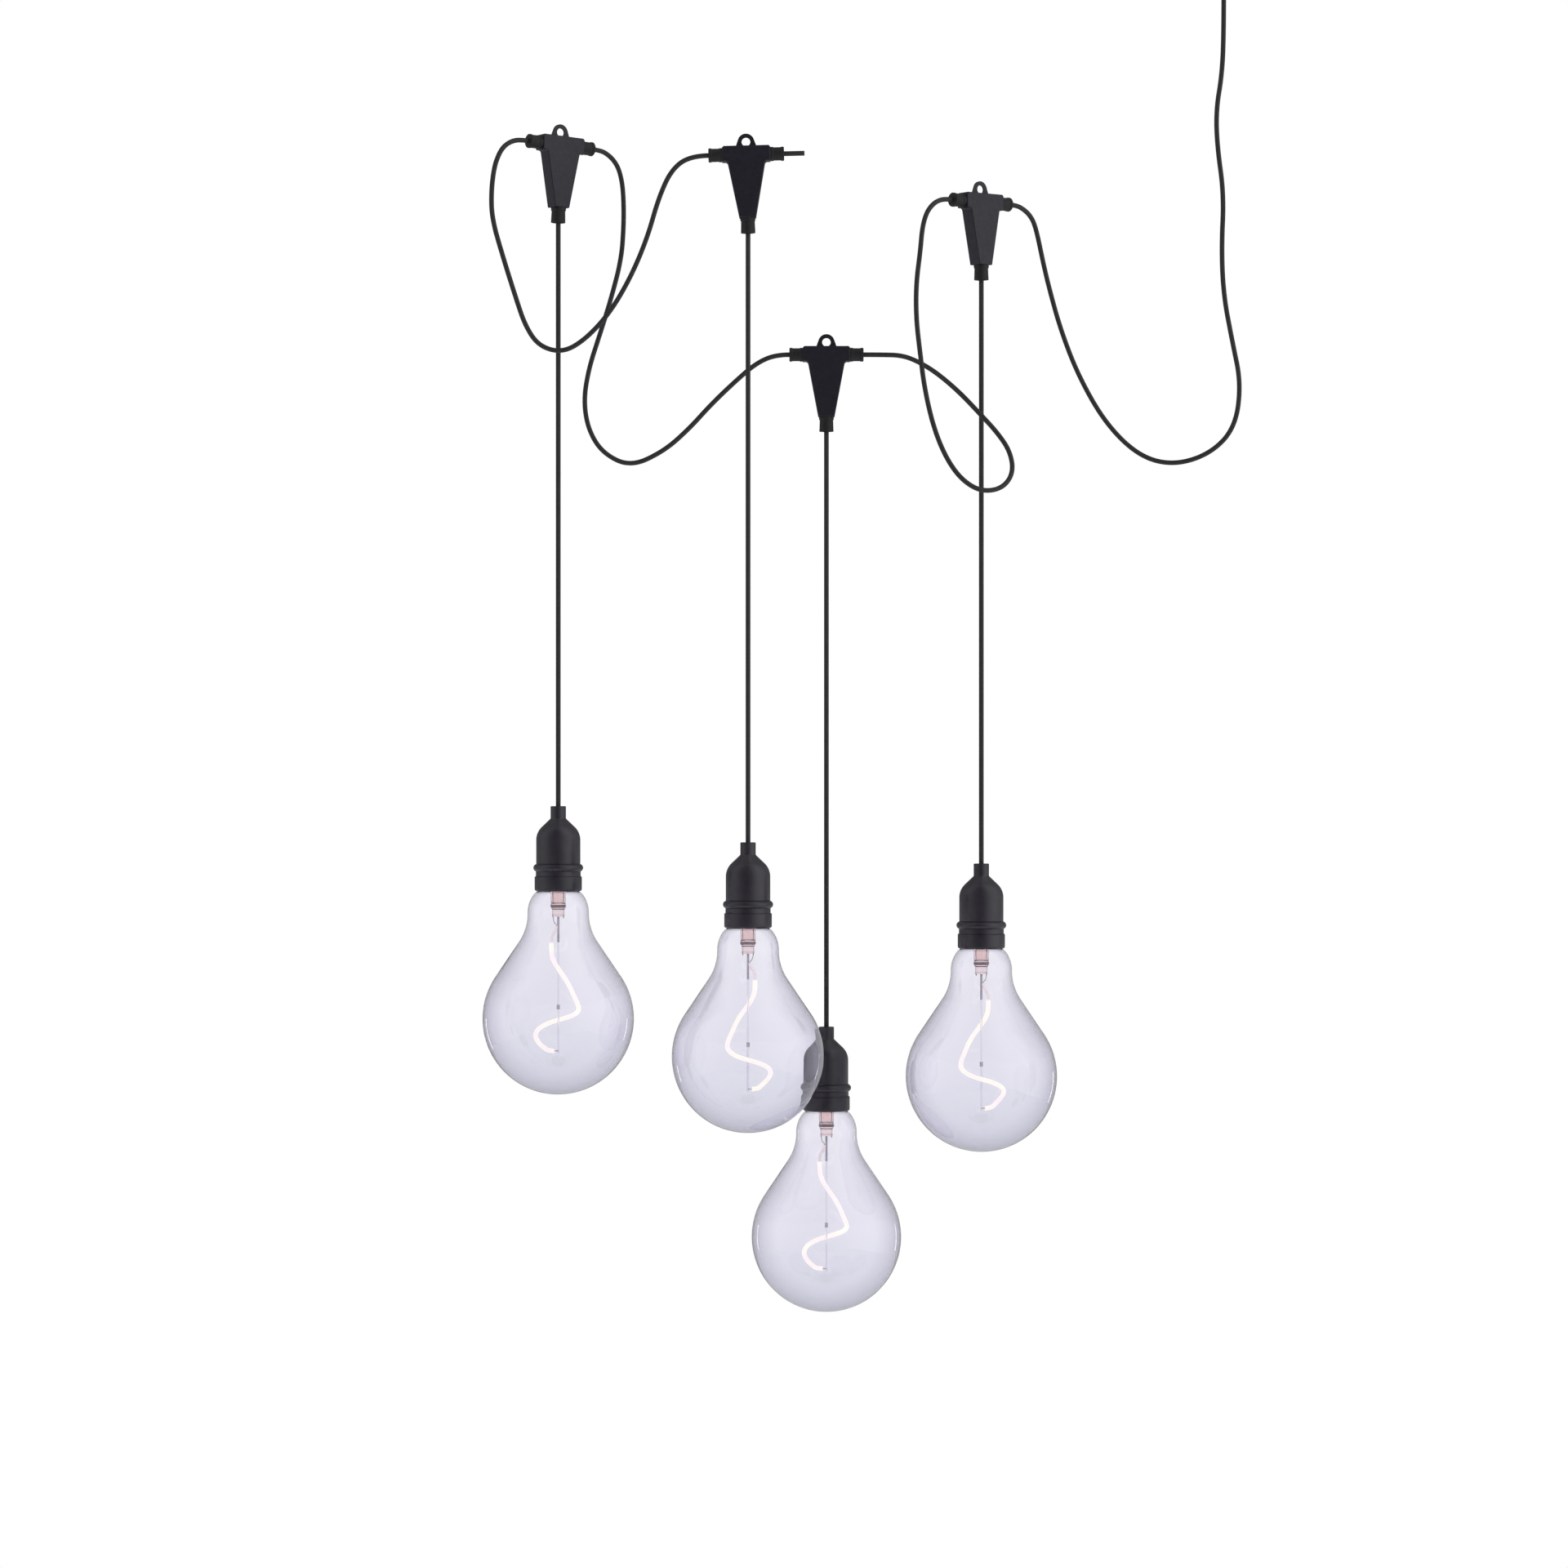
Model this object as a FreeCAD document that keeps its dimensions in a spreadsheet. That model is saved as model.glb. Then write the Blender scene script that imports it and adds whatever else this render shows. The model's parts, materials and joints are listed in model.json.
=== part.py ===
"""String pendant light: four giant bulbs on one cable with four hanging tees and a ceiling cup.

The origin is the middle of the ceiling face of the cup, +Z is up and the front faces -Y.
All sizes are millimetres and degrees.
"""
import FreeCAD, Part
import math
import os
from types import SimpleNamespace

import Sketcher
from FreeCAD import Placement, Rotation, Vector

# Every size that can be set by itself, written once.
SIZES = {
    # cable
    "cord_diameter": 5.3,
    "core_diameter": 1.9,
    "core_spread": 2.6,
    "cord_fit": 0.1,
    # gaps
    "slip_fit": 0.1,
    "moving_gap": 0.3,
    "overrun": 1.0,
    # tee housing
    "tee_depth": 17.0,
    "tee_wall": 2.0,
    "tee_arm_half": 26.1,
    "tee_arm_top": 9.0,
    "tee_arm_bottom": 7.7,
    "tee_arm_slope": 1.6,
    "tee_flank_top_half": 20.5,
    "tee_flank_bottom_half": 9.0,
    "tee_flank_length": 61.0,
    "tee_inner_round": 3.0,
    "tee_edge_round": 1.1,
    "cavity_half": 15.0,
    "cavity_floor": 8.7,
    "cavity_side_wall": 2.4,
    "eye_height": 13.8,
    "eye_bore_radius": 4.7,
    "eye_radius": 9.0,
    "eye_thickness": 2.2,
    "eye_flare_angle": 20.0,
    # cable glands of a tee
    "gland_stem_radius": 5.2,
    "gland_flange_radius": 6.1,
    "gland_flange_length": 1.6,
    "gland_head_length": 14.9,
    "gland_head_radius": 7.7,
    "gland_waist_radius": 7.2,
    "gland_ring_length": 3.0,
    "gland_edge": 0.7,
    "drop_gland_length": 16.3,
    "drop_gland_radius": 8.2,
    "drop_gland_tip_radius": 7.9,
    "mouth_depth": 6.0,
    "mouth_radius": 5.9,
    "mouth_throat_rise": 1.0,
    # splice block in a tee
    "block_width": 14.0,
    "block_thickness": 9.0,
    "block_height": 16.0,
    "block_depth_below_arm": 12.0,
    "tail_inner_end": 10.0,
    # where the four tees hang
    "tee_1_across": -724.5,
    "tee_1_back": 0.0,
    "tee_1_down": 213.0,
    "tee_1_yaw": 34.0,
    "tee_1_tilt": 2.0,
    "tee_2_across": -521.2,
    "tee_2_back": -40.0,
    "tee_2_down": 229.0,
    "tee_2_yaw": 0.0,
    "tee_2_tilt": -1.4,
    "tee_3_across": -433.4,
    "tee_3_back": 60.0,
    "tee_3_down": 436.2,
    "tee_3_yaw": 0.0,
    "tee_3_tilt": 0.0,
    "tee_4_across": -265.4,
    "tee_4_back": 0.0,
    "tee_4_down": 275.3,
    "tee_4_yaw": 38.0,
    "tee_4_tilt": -0.6,
    "drop_1_length": 643.0,
    "drop_2_length": 666.0,
    "drop_3_length": 664.0,
    "drop_4_length": 643.4,
    "tail_length": 22.0,
    # lampholder, outside
    "nozzle_radius": 8.4,
    "nozzle_height": 13.5,
    "nozzle_edge": 0.8,
    "cone_radius": 17.5,
    "cone_height": 8.7,
    "barrel_radius": 24.1,
    "shoulder_height": 14.8,
    "barrel_height": 26.0,
    "bead_radius": 27.2,
    "bead_height": 7.8,
    "groove_radius": 24.5,
    "groove_height": 5.6,
    "skirt_radius": 25.8,
    "skirt_height": 16.0,
    "skirt_edge": 0.8,
    "skirt_round": 2.4,
    "seam_gap": 0.4,
    # lampholder, inside
    "nozzle_floor": 3.5,
    "ceiling_radius": 8.0,
    "barrel_bore_radius": 18.8,
    "inner_cone_height": 18.0,
    "spigot_radius": 22.4,
    "spigot_length": 12.0,
    "spigot_bore_radius": 20.4,
    "mouth_bore_radius": 23.0,
    "seal_ledge_height": 7.3,
    "seal_inner_radius": 17.0,
    "seal_height": 4.3,
    "insert_floor_height": 6.0,
    "insert_floor_level": 32.5,
    "insert_tube_radius": 17.6,
    "insert_tube_wall": 2.7,
    "insert_foot_gap": 0.6,
    "screw_shell_radius": 14.0,
    "screw_shell_wall": 0.5,
    "screw_shell_foot": 0.8,
    "contact_radius": 3.2,
    # lamp cap
    "thread_pitch": 3.629,
    "thread_depth": 0.7,
    "cap_radius": 13.1,
    "cap_wall": 0.5,
    "cap_rim_radius": 13.9,
    "cap_rim_height": 1.0,
    "cap_plain_height": 2.3,
    "cap_cone_height": 2.4,
    "insulator_radius": 8.5,
    "insulator_height": 2.0,
    "cap_contact_radius": 4.6,
    "cap_contact_height": 1.6,
    # bulb glass
    "glass_wall": 0.9,
    "globe_radius": 82.5,
    "flank_angle": 34.0,
    "neck_bend_radius": 55.0,
    "neck_radius": 33.4,
    "neck_length": 1.0,
    "shoulder_depth": 23.5,
    "shoulder_radius": 33.0,
    "shoulder_angle": 35.0,
    "crown_radius": 17.0,
    "stub_radius": 11.8,
    "stub_height": 8.0,
    # stem and filament
    "stem_top_radius": 10.6,
    "stem_top_level": 4.0,
    "stem_radius": 9.0,
    "stem_bead_radius": 9.7,
    "stem_bead_height": 1.6,
    "stem_upper_length": 13.0,
    "stem_waist_radius": 7.4,
    "stem_lower_length": 8.0,
    "stem_tip_height": 2.4,
    "rod_radius": 1.1,
    "lead_radius": 0.5,
    "foot_lead_length": 3.0,
    "filament_diameter": 5.0,
    "filament_top": 57.0,
    "filament_height": 117.5,
    "filament_spread": 25.0,
    # ceiling cup
    "cup_radius": 42.0,
    "cup_height": 28.0,
    "cup_wall": 1.2,
    "cup_round": 4.0,
    "bracket_half": 39.6,
    "bracket_width": 16.0,
    "bracket_thickness": 2.0,
    "bracket_tab_height": 16.0,
    "ceiling_hole_radius": 2.25,
    "ceiling_hole_half_spacing": 27.0,
    "side_screw_level": 10.0,
    "side_screw_radius": 1.9,
    "side_screw_head_radius": 3.6,
    "side_screw_head_height": 2.2,
    "side_screw_length": 7.0,
    "side_screw_slack": 0.05,
    "grip_thread_radius": 5.0,
    "grip_thread_length": 6.5,
    "grip_nut_radius": 8.6,
    "grip_nut_height": 4.0,
    "grip_collar_radius": 8.2,
    "grip_collar_height": 5.0,
    "grip_length": 14.0,
    "grip_tip_radius": 5.6,
    "terminal_length": 24.0,
    "terminal_width": 14.0,
    "terminal_height": 9.0,
    "terminal_lead": 4.0,
}

# Turns of thread on the lamp cap and in the screw shell.
CAP_THREADS = 5
SHELL_THREADS = 6

# Faces towards the viewer of the bulbs: half a turn apart from one pendant to the next.
BULB_TURN = {1: 0, 2: 180, 3: 0, 4: 180}

# Filament route, as shares of its spread across and back, and of its height downward.
FILAMENT_SHARES = [
    (-0.22, 0.0, 0.0), (-0.22, 0.0, 0.08), (-0.14, -0.20, 0.17), (0.14, -0.40, 0.265),
    (0.48, -0.52, 0.37), (0.70, -0.48, 0.48), (0.86, -0.12, 0.59), (0.80, 0.44, 0.655),
    (0.36, 0.88, 0.70), (-0.36, 0.84, 0.74), (-0.86, 0.44, 0.79), (-1.02, -0.04, 0.845),
    (-0.90, -0.38, 0.905), (-0.66, -0.38, 0.957), (-0.42, 0.0, 1.0),
]

# Free cable between the tees: from tee, side, straight lead, hand-chosen points, to tee, side, lead.
# Side -1 is a tee's left gland and +1 its right gland, seen from the front.
ROUTES = {
    "link_cord_1_2": (1, -1, 10.5, [
        (-775.5, -34.5, -213.5), (-783, -39, -219), (-788.5, -43, -227.5), (-794, -45, -243),
        (-797.5, -40, -269), (-797, -35, -298), (-785, -34, -339.5), (-772, -33, -381),
        (-761, -33, -414), (-746, -34, -436), (-721, -35, -443), (-697, -36, -430),
        (-669.5, -38, -401), (-646, -39, -361), (-628, -40, -318), (-616.5, -40, -277),
        (-602.5, -40, -245.5),
    ], 2, -1, 20.0),
    "link_cord_1_3": (3, -1, 15.0, [
        (-511, 60, -445.5), (-534.5, 59, -466), (-560.5, 57, -491), (-586, 54, -519.5),
        (-613.5, 50, -544), (-649.5, 46, -561), (-680, 43, -546.5), (-696, 41, -520.5),
        (-701, 40, -488), (-695, 39, -452.5), (-683.5, 38, -417.5), (-671, 38, -378),
        (-659.5, 40, -333.5), (-657, 43, -297.5), (-657, 45, -270), (-658.5, 46, -249),
        (-662, 43.5, -234), (-667, 39.5, -225), (-674, 34.5, -218.5),
    ], 1, 1, 10.5),
    "link_cord_3_4": (4, -1, 10.5, [
        (-314.5, -38, -279), (-321.5, -43.5, -285.5), (-327, -48, -295), (-331, -50.5, -311),
        (-333, -50.5, -335), (-337.5, -50, -370), (-337.5, -52, -408), (-333.5, -54, -443.5),
        (-328.5, -55, -484), (-319, -60, -526), (-306, -66, -559), (-289.5, -70, -583),
        (-268, -68, -596), (-244.5, -60, -592), (-232, -49, -574), (-235.5, -40, -550),
        (-249.5, -34, -529), (-266.5, -29, -510), (-289.5, -8, -483), (-313, 18, -460),
        (-333, 38, -445.5), (-350.5, 53, -437.5),
    ], 3, 1, 21.0),
    "supply_cord": (0, 0, 46.0, [
        (-1.5, 2, -134), (-8, 4, -174), (-6.5, 6, -214), (1, 8, -266), (-1.5, 10, -325),
        (1, 12, -376), (11, 16, -426), (21, 20, -472), (15, 26, -520), (-12, 32, -548),
        (-51.5, 37, -560), (-89, 41, -550), (-125.5, 45, -514), (-155, 48, -462),
        (-175, 50, -410), (-188.5, 50, -361), (-195.5, 50.5, -330), (-200, 50, -308),
        (-204.5, 47, -292), (-210, 43, -283.5), (-217, 38, -278),
    ], 4, 1, 10.5),
}

# Share of the shorter run that an arc may use, so that two arcs never meet on one run.
ARC_RUN_SHARE = 0.45

PENDANTS = (1, 2, 3, 4)


class Size:
    """A number that remembers the formula of named sizes it comes from."""

    def __init__(self, number, formula):
        self.number = float(number)
        self.formula = formula

    def _joined(self, sign, other, number):
        return Size(number, "(%s %s %s)" % (self.formula, sign, other.formula))

    def __add__(self, other):
        other = as_size(other)
        return self._joined("+", other, self.number + other.number)

    def __sub__(self, other):
        other = as_size(other)
        return self._joined("-", other, self.number - other.number)

    def __mul__(self, other):
        other = as_size(other)
        return self._joined("*", other, self.number * other.number)

    def __truediv__(self, other):
        other = as_size(other)
        return self._joined("/", other, self.number / other.number)

    def __radd__(self, other):
        return as_size(other) + self

    def __rsub__(self, other):
        return as_size(other) - self

    def __rmul__(self, other):
        return as_size(other) * self

    def __neg__(self):
        return Size(-self.number, "(0 - %s)" % self.formula)


def as_size(value):
    """A Size as it is, or a plain count, share or zero made into one."""
    if isinstance(value, Size):
        return value
    return Size(value, "(%r)" % float(value))


def sine(angle):
    return Size(math.sin(math.radians(angle.number)), "sin(%s * 1 deg)" % angle.formula)


def cosine(angle):
    return Size(math.cos(math.radians(angle.number)), "cos(%s * 1 deg)" % angle.formula)


def bulge(chord, rise):
    """Radius of the arc that stands a given rise over a chord."""
    return (chord * chord / 4 + rise * rise) / (rise * 2)


doc = FreeCAD.newDocument("string_pendant_light")
sheet = doc.addObject("Spreadsheet::Sheet", "Sizes")
dim = SimpleNamespace()
for row, (name, number) in enumerate(SIZES.items(), start=1):
    cell = "A%d" % row
    sheet.set(cell, str(number))
    sheet.setAlias(cell, name)
    setattr(dim, name, Size(number, "Sizes." + name))
doc.recompute()

nodes = []


def keep(item, label):
    """Give a finished sub-part its name and list it for writing."""
    item.Label = label
    nodes.append(item)
    return item


def origin_plane(body, role):
    return next(item for item in body.Origin.OriginFeatures if item.Role == role)


def body_sketch(body, role="XZ_Plane"):
    """Sketch on one of the body's own origin planes."""
    sketch = body.newObject("Sketcher::SketchObject", "Outline")
    sketch.AttachmentSupport = [(origin_plane(body, role), "")]
    sketch.MapMode = "FlatFace"
    return sketch


def pin_point(sketch, edge, end, across, up):
    """Hold a point of the sketch at named distances from the sketch's origin."""
    for kind, axis, place in (("DistanceX", -2, across), ("DistanceY", -1, up)):
        place = as_size(place)
        if place.number == 0:
            sketch.addConstraint(Sketcher.Constraint("PointOnObject", edge, end, axis))
            continue
        index = sketch.addConstraint(Sketcher.Constraint(kind, -1, 1, edge, end, place.number))
        sketch.setExpression("Constraints[%d]" % index, place.formula)


def arc_between(start, end, radius):
    """Arc from start to end, its middle left of the way for a positive radius; under half a circle."""
    chord = end - start
    half = chord.Length / 2
    rise = math.sqrt(max(radius * radius - half * half, 0))
    left = Vector(-chord.y, chord.x, 0).normalize()
    centre = start + chord / 2 + left * math.copysign(rise, radius)
    first, last = (start, end) if radius > 0 else (end, start)
    begin = math.atan2(first.y - centre.y, first.x - centre.x)
    finish = math.atan2(last.y - centre.y, last.x - centre.x)
    circle = Part.Circle(centre, Vector(0, 0, 1), abs(radius))
    return Part.ArcOfCircle(circle, begin, finish)


def draw_outline(sketch, corners):
    """Closed outline of corners (across, up) or (across, up, radius of the edge that leaves it)."""
    points = [Vector(as_size(c[0]).number, as_size(c[1]).number, 0) for c in corners]
    first = sketch.GeometryCount
    for index, corner in enumerate(corners):
        start = points[index]
        end = points[(index + 1) % len(points)]
        if len(corner) == 3:
            sketch.addGeometry(arc_between(start, end, as_size(corner[2]).number), False)
        else:
            sketch.addGeometry(Part.LineSegment(start, end), False)
    for index, corner in enumerate(corners):
        edge = first + index
        follower = first + (index + 1) % len(corners)
        leaves = 2 if len(corner) == 2 or as_size(corner[2]).number > 0 else 1
        next_corner = corners[(index + 1) % len(corners)]
        enters = 1 if len(next_corner) == 2 or as_size(next_corner[2]).number > 0 else 2
        sketch.addConstraint(Sketcher.Constraint("Coincident", edge, leaves, follower, enters))
    for index, corner in enumerate(corners):
        edge = first + index
        starts = 1 if len(corner) == 2 or as_size(corner[2]).number > 0 else 2
        pin_point(sketch, edge, starts, corner[0], corner[1])
        if len(corner) == 3:
            radius = as_size(corner[2])
            if radius.number < 0:
                radius = -radius
            index = sketch.addConstraint(Sketcher.Constraint("Radius", edge, radius.number))
            sketch.setExpression("Constraints[%d]" % index, radius.formula)


def draw_circle(sketch, across, up, radius):
    across, up = as_size(across), as_size(up)
    circle = Part.Circle(Vector(across.number, up.number, 0), Vector(0, 0, 1), radius.number)
    edge = sketch.addGeometry(circle, False)
    pin_point(sketch, edge, 3, across, up)
    index = sketch.addConstraint(Sketcher.Constraint("Radius", edge, radius.number))
    sketch.setExpression("Constraints[%d]" % index, radius.formula)


def turned(name, corners, axis="V_Axis", place=Placement()):
    """Body turned on a lathe: an outline in the XZ plane carried once round Z, or round X."""
    body = doc.addObject("PartDesign::Body", name)
    sketch = body_sketch(body)
    draw_outline(sketch, corners)
    turn = body.newObject("PartDesign::Revolution", "Turn")
    turn.Profile = sketch
    turn.ReferenceAxis = (sketch, [axis])
    turn.Angle = 360
    sketch.Visibility = False
    body.Placement = place
    return body


def extruded(body, corners, length, towards_back=False, role="XZ_Plane"):
    """Pad of an outline from its plane, to the front unless towards_back."""
    sketch = body_sketch(body, role)
    draw_outline(sketch, corners)
    pad = body.newObject("PartDesign::Pad", "Pad")
    pad.Profile = sketch
    pad.setExpression("Length", length.formula)
    pad.Reversed = towards_back
    return pad


def cut_out(body, draw, length, towards_back=False):
    """Pocket from the XZ plane into the solid, to the front unless towards_back."""
    sketch = body_sketch(body)
    draw(sketch)
    pocket = body.newObject("PartDesign::Pocket", "Cut")
    pocket.Profile = sketch
    pocket.setExpression("Length", length.formula)
    pocket.Reversed = not towards_back
    return pocket


def bored(body, outlines, axis):
    """Round bores cut by outlines carried once round an axis of the XZ plane."""
    sketch = body_sketch(body)
    for corners in outlines:
        draw_outline(sketch, corners)
    groove = body.newObject("PartDesign::Groove", "Bore")
    groove.Profile = sketch
    groove.ReferenceAxis = (sketch, [axis])
    groove.Angle = 360
    return groove


def rounded(body, base, radius, chosen):
    """Fillet of the edges of a feature whose points all pass the test."""
    doc.recompute()
    names = []
    for index, edge in enumerate(base.Shape.Edges, start=1):
        points = [vertex.Point for vertex in edge.Vertexes]
        if all(chosen(point) for point in points):
            names.append("Edge%d" % index)
    fillet = body.newObject("PartDesign::Fillet", "Round")
    fillet.Base = (base, names)
    fillet.setExpression("Radius", radius.formula)
    return fillet


def cylinder(name, radius, height, place):
    item = doc.addObject("Part::Cylinder", name)
    item.setExpression("Radius", radius.formula)
    item.setExpression("Height", height.formula)
    item.Placement = place
    return item


def box(name, length, width, height, place):
    item = doc.addObject("Part::Box", name)
    item.setExpression("Length", length.formula)
    item.setExpression("Width", width.formula)
    item.setExpression("Height", height.formula)
    item.Placement = place
    return item


def cut_away(name, base, tool):
    item = doc.addObject("Part::Cut", name)
    item.Base = base
    item.Tool = tool
    return item


def group(name, items):
    item = doc.addObject("Part::Compound", name)
    item.Links = items
    return item


def shaped(name, shape):
    item = doc.addObject("Part::Feature", name)
    item.Shape = shape
    return item


def at(across, back, up):
    """Placement at named distances from the origin of a frame."""
    return Placement(Vector(*(as_size(v).number for v in (across, back, up))), Rotation())


def spun(degrees):
    return Placement(Vector(), Rotation(Vector(0, 0, 1), degrees))


def facing_x(place):
    """The place, with a cylinder's own axis laid along X."""
    return place * Placement(Vector(), Rotation(Vector(0, 1, 0), 90))


def tube(name, points, diameter, report=True):
    """Solid tube: straight runs joined by tangent arcs, each as large as its two runs allow."""
    points = [Vector(*p) for p in points]
    edges = []
    radii = []
    start = points[0]
    length = 0.0
    for before, corner, after in zip(points, points[1:], points[2:]):
        inward = (corner - before).normalize()
        outward = (after - corner).normalize()
        half_turn = inward.getAngle(outward) / 2
        reach = ARC_RUN_SHARE * min((corner - before).Length, (after - corner).Length)
        radius = reach / math.tan(half_turn)
        enter = corner - inward * reach
        leave = corner + outward * reach
        to_middle = (outward - inward).normalize()
        centre = corner + to_middle * (radius / math.cos(half_turn))
        middle = centre + (corner - centre).normalize() * radius
        edges.append(Part.LineSegment(start, enter).toShape())
        edges.append(Part.Arc(enter, middle, leave).toShape())
        radii.append(radius)
        length += (enter - start).Length + radius * 2 * half_turn
        start = leave
    edges.append(Part.LineSegment(start, points[-1]).toShape())
    length += (points[-1] - start).Length
    path = Part.Wire(edges)
    first_way = (points[1] - points[0]).normalize()
    section = Part.Wire(Part.Circle(points[0], first_way, diameter / 2).toShape())
    solid = path.makePipeShell([section], True, False)
    expected = math.pi * diameter * diameter / 4 * length
    if report:
        print("%s: length %.1f, volume share %.5f, smallest radius %.1f"
              % (name, length, solid.Volume / expected, min(radii)))
        print("  radii", " ".join("%.0f" % radius for radius in radii))
    return solid


# Sizes that follow from the named ones.
cord_radius = dim.cord_diameter / 2
cord_bore = cord_radius + dim.cord_fit
half_depth = dim.tee_depth / 2
flank_bottom = dim.tee_arm_bottom + dim.tee_flank_length
gland_reach = dim.tee_arm_half + dim.gland_head_length
mouth_level = flank_bottom + dim.drop_gland_length
pivot_level = mouth_level - dim.mouth_depth
stem_bore = dim.gland_stem_radius + dim.slip_fit
skirt_seam = dim.skirt_height + dim.groove_height + dim.bead_height + dim.seam_gap
barrel_top = skirt_seam + dim.barrel_height
cone_foot = barrel_top + dim.shoulder_height
nozzle_foot = cone_foot + dim.cone_height
holder_height = nozzle_foot + dim.nozzle_height
insert_seat = dim.insert_floor_level + dim.insert_floor_height


def tee_place(number):
    """Where a tee's frame lies: its origin is the middle of the arm's axis."""
    spot = Vector(SIZES["tee_%d_across" % number], SIZES["tee_%d_back" % number],
                  -SIZES["tee_%d_down" % number])
    yaw = Rotation(Vector(0, 0, 1), SIZES["tee_%d_yaw" % number])
    tilt = Rotation(Vector(0, 1, 0), SIZES["tee_%d_tilt" % number])
    return Placement(spot, yaw * tilt)


def pivot_point(number):
    """Where the drop cable bends, in the mouth of its gland."""
    return tee_place(number).multVec(Vector(0, 0, -pivot_level.number))


def pendant_place(number):
    """A pendant's frame: its origin is the middle of the lampholder's rim."""
    drop = SIZES["drop_%d_length" % number] + holder_height.number
    return Placement(pivot_point(number) - Vector(0, 0, drop), Rotation())


def tee_outline():
    """Front view of a tee housing: arm, and a wedge that narrows to the drop gland."""
    arm = dim.tee_arm_half
    slope = dim.tee_arm_slope
    top = dim.tee_arm_top
    low = -dim.tee_arm_bottom
    wide = dim.tee_flank_top_half
    narrow = dim.tee_flank_bottom_half
    return [(-arm, low), (-wide, low), (-narrow, -flank_bottom), (narrow, -flank_bottom),
            (wide, low), (arm, low), (arm, top - slope), (arm - slope, top),
            (-(arm - slope), top), (-arm, top - slope)]


def cavity_outline():
    """Hollow for the splice block, inside the wedge and the middle of the arm."""
    half = dim.cavity_half
    top = dim.tee_arm_top - dim.tee_wall
    low = -dim.tee_arm_bottom
    end = -(flank_bottom - dim.cavity_floor)
    narrow = dim.tee_flank_bottom_half - dim.cavity_side_wall + (
        (dim.tee_flank_top_half - dim.tee_flank_bottom_half) * dim.cavity_floor / dim.tee_flank_length)
    return [(-half, top), (-half, low), (-narrow, end), (narrow, end), (half, low), (half, top)]


def eye_outline():
    """Hanging eye: a ring on a base that flares out to the arm."""
    angle = dim.eye_flare_angle
    ring_half = dim.eye_radius * cosine(angle)
    ring_up = dim.eye_height + dim.eye_radius * sine(angle)
    foot_half = ring_half + (ring_up - dim.tee_arm_top) * sine(angle) / cosine(angle)
    foot = dim.tee_arm_top - dim.tee_wall
    crown = dim.eye_height + dim.eye_radius
    return [(-foot_half, foot), (foot_half, foot), (foot_half, dim.tee_arm_top),
            (ring_half, ring_up, dim.eye_radius), (0, crown, dim.eye_radius),
            (-ring_half, ring_up), (-foot_half, dim.tee_arm_top)]


def tee_shell(number, side):
    """Half of a tee housing; the back half carries the hanging eye."""
    back = side == "back"
    body = doc.addObject("PartDesign::Body", "tee_%d_%s_shell" % (number, side))
    pad = extruded(body, tee_outline(), half_depth, towards_back=back)
    low = -dim.tee_arm_bottom.number
    wide = dim.tee_flank_top_half.number
    slack = dim.slip_fit.number
    face = half_depth.number if back else -half_depth.number
    corner = rounded(body, pad, dim.tee_inner_round,
                     lambda p: abs(abs(p.x) - wide) < slack and abs(p.z - low) < slack)
    rounded(body, corner, dim.tee_edge_round, lambda p: abs(p.y - face) < slack)
    cut_out(body, lambda sketch: draw_outline(sketch, cavity_outline()),
            half_depth - dim.tee_wall, towards_back=back)
    past = dim.tee_arm_half + dim.overrun
    inner = dim.cavity_half - dim.overrun
    sides = [[(inner * way, 0), (past * way, 0), (past * way, stem_bore), (inner * way, stem_bore)]
             for way in (-1, 1)]
    bored(body, sides, "H_Axis")
    floor = -(flank_bottom - dim.cavity_floor - dim.overrun)
    below = -(flank_bottom + dim.overrun)
    bored(body, [[(0, floor), (stem_bore, floor), (stem_bore, below), (0, below)]], "V_Axis")
    if back:
        extruded(body, eye_outline(), dim.eye_thickness, towards_back=True)
        cut_out(body, lambda sketch: draw_circle(sketch, 0, dim.eye_height, dim.eye_bore_radius),
                dim.eye_thickness + dim.overrun, towards_back=True)
    body.Placement = tee_place(number)
    return body


def side_gland(number, side):
    """Rubber gland at an arm's end: flange inside, ribbed head outside, bore for the cable."""
    flange_end = dim.cavity_half - dim.slip_fit
    flange_start = flange_end - dim.gland_flange_length
    head = dim.tee_arm_half
    ring = dim.gland_ring_length
    edge = dim.gland_edge
    outer = dim.gland_head_radius
    waist = dim.gland_waist_radius
    corners = [
        (flange_start, cord_bore), (gland_reach, cord_bore), (gland_reach, outer - edge),
        (gland_reach - edge, outer), (gland_reach - ring, outer), (gland_reach - ring - edge, waist),
        (head + ring + edge, waist), (head + ring, outer), (head, outer),
        (head, dim.gland_stem_radius), (flange_end, dim.gland_stem_radius),
        (flange_end, dim.gland_flange_radius), (flange_start, dim.gland_flange_radius)]
    place = tee_place(number) * spun(0 if side > 0 else 180)
    return turned("gland", corners, "H_Axis", place)


def drop_gland(number):
    """Gland under a tee, with a flared mouth in which the drop cable swings."""
    flange_low = -(flank_bottom - dim.cavity_floor - dim.slip_fit)
    flange_high = flange_low + dim.gland_flange_length
    head = -flank_bottom
    tip = -mouth_level
    throat = dim.mouth_throat_rise - pivot_level
    edge = dim.gland_edge
    ring = dim.gland_ring_length
    outer = dim.drop_gland_radius
    waist = outer - edge
    corners = [
        (cord_bore, flange_high), (cord_bore, throat), (dim.mouth_radius, tip),
        (dim.drop_gland_tip_radius, tip), (dim.drop_gland_tip_radius, tip + edge),
        (waist, head - ring - edge), (outer, head - ring), (outer, head),
        (dim.gland_stem_radius, head), (dim.gland_stem_radius, flange_low),
        (dim.gland_flange_radius, flange_low), (dim.gland_flange_radius, flange_high)]
    return turned("drop_gland", corners, "V_Axis", tee_place(number))


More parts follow.
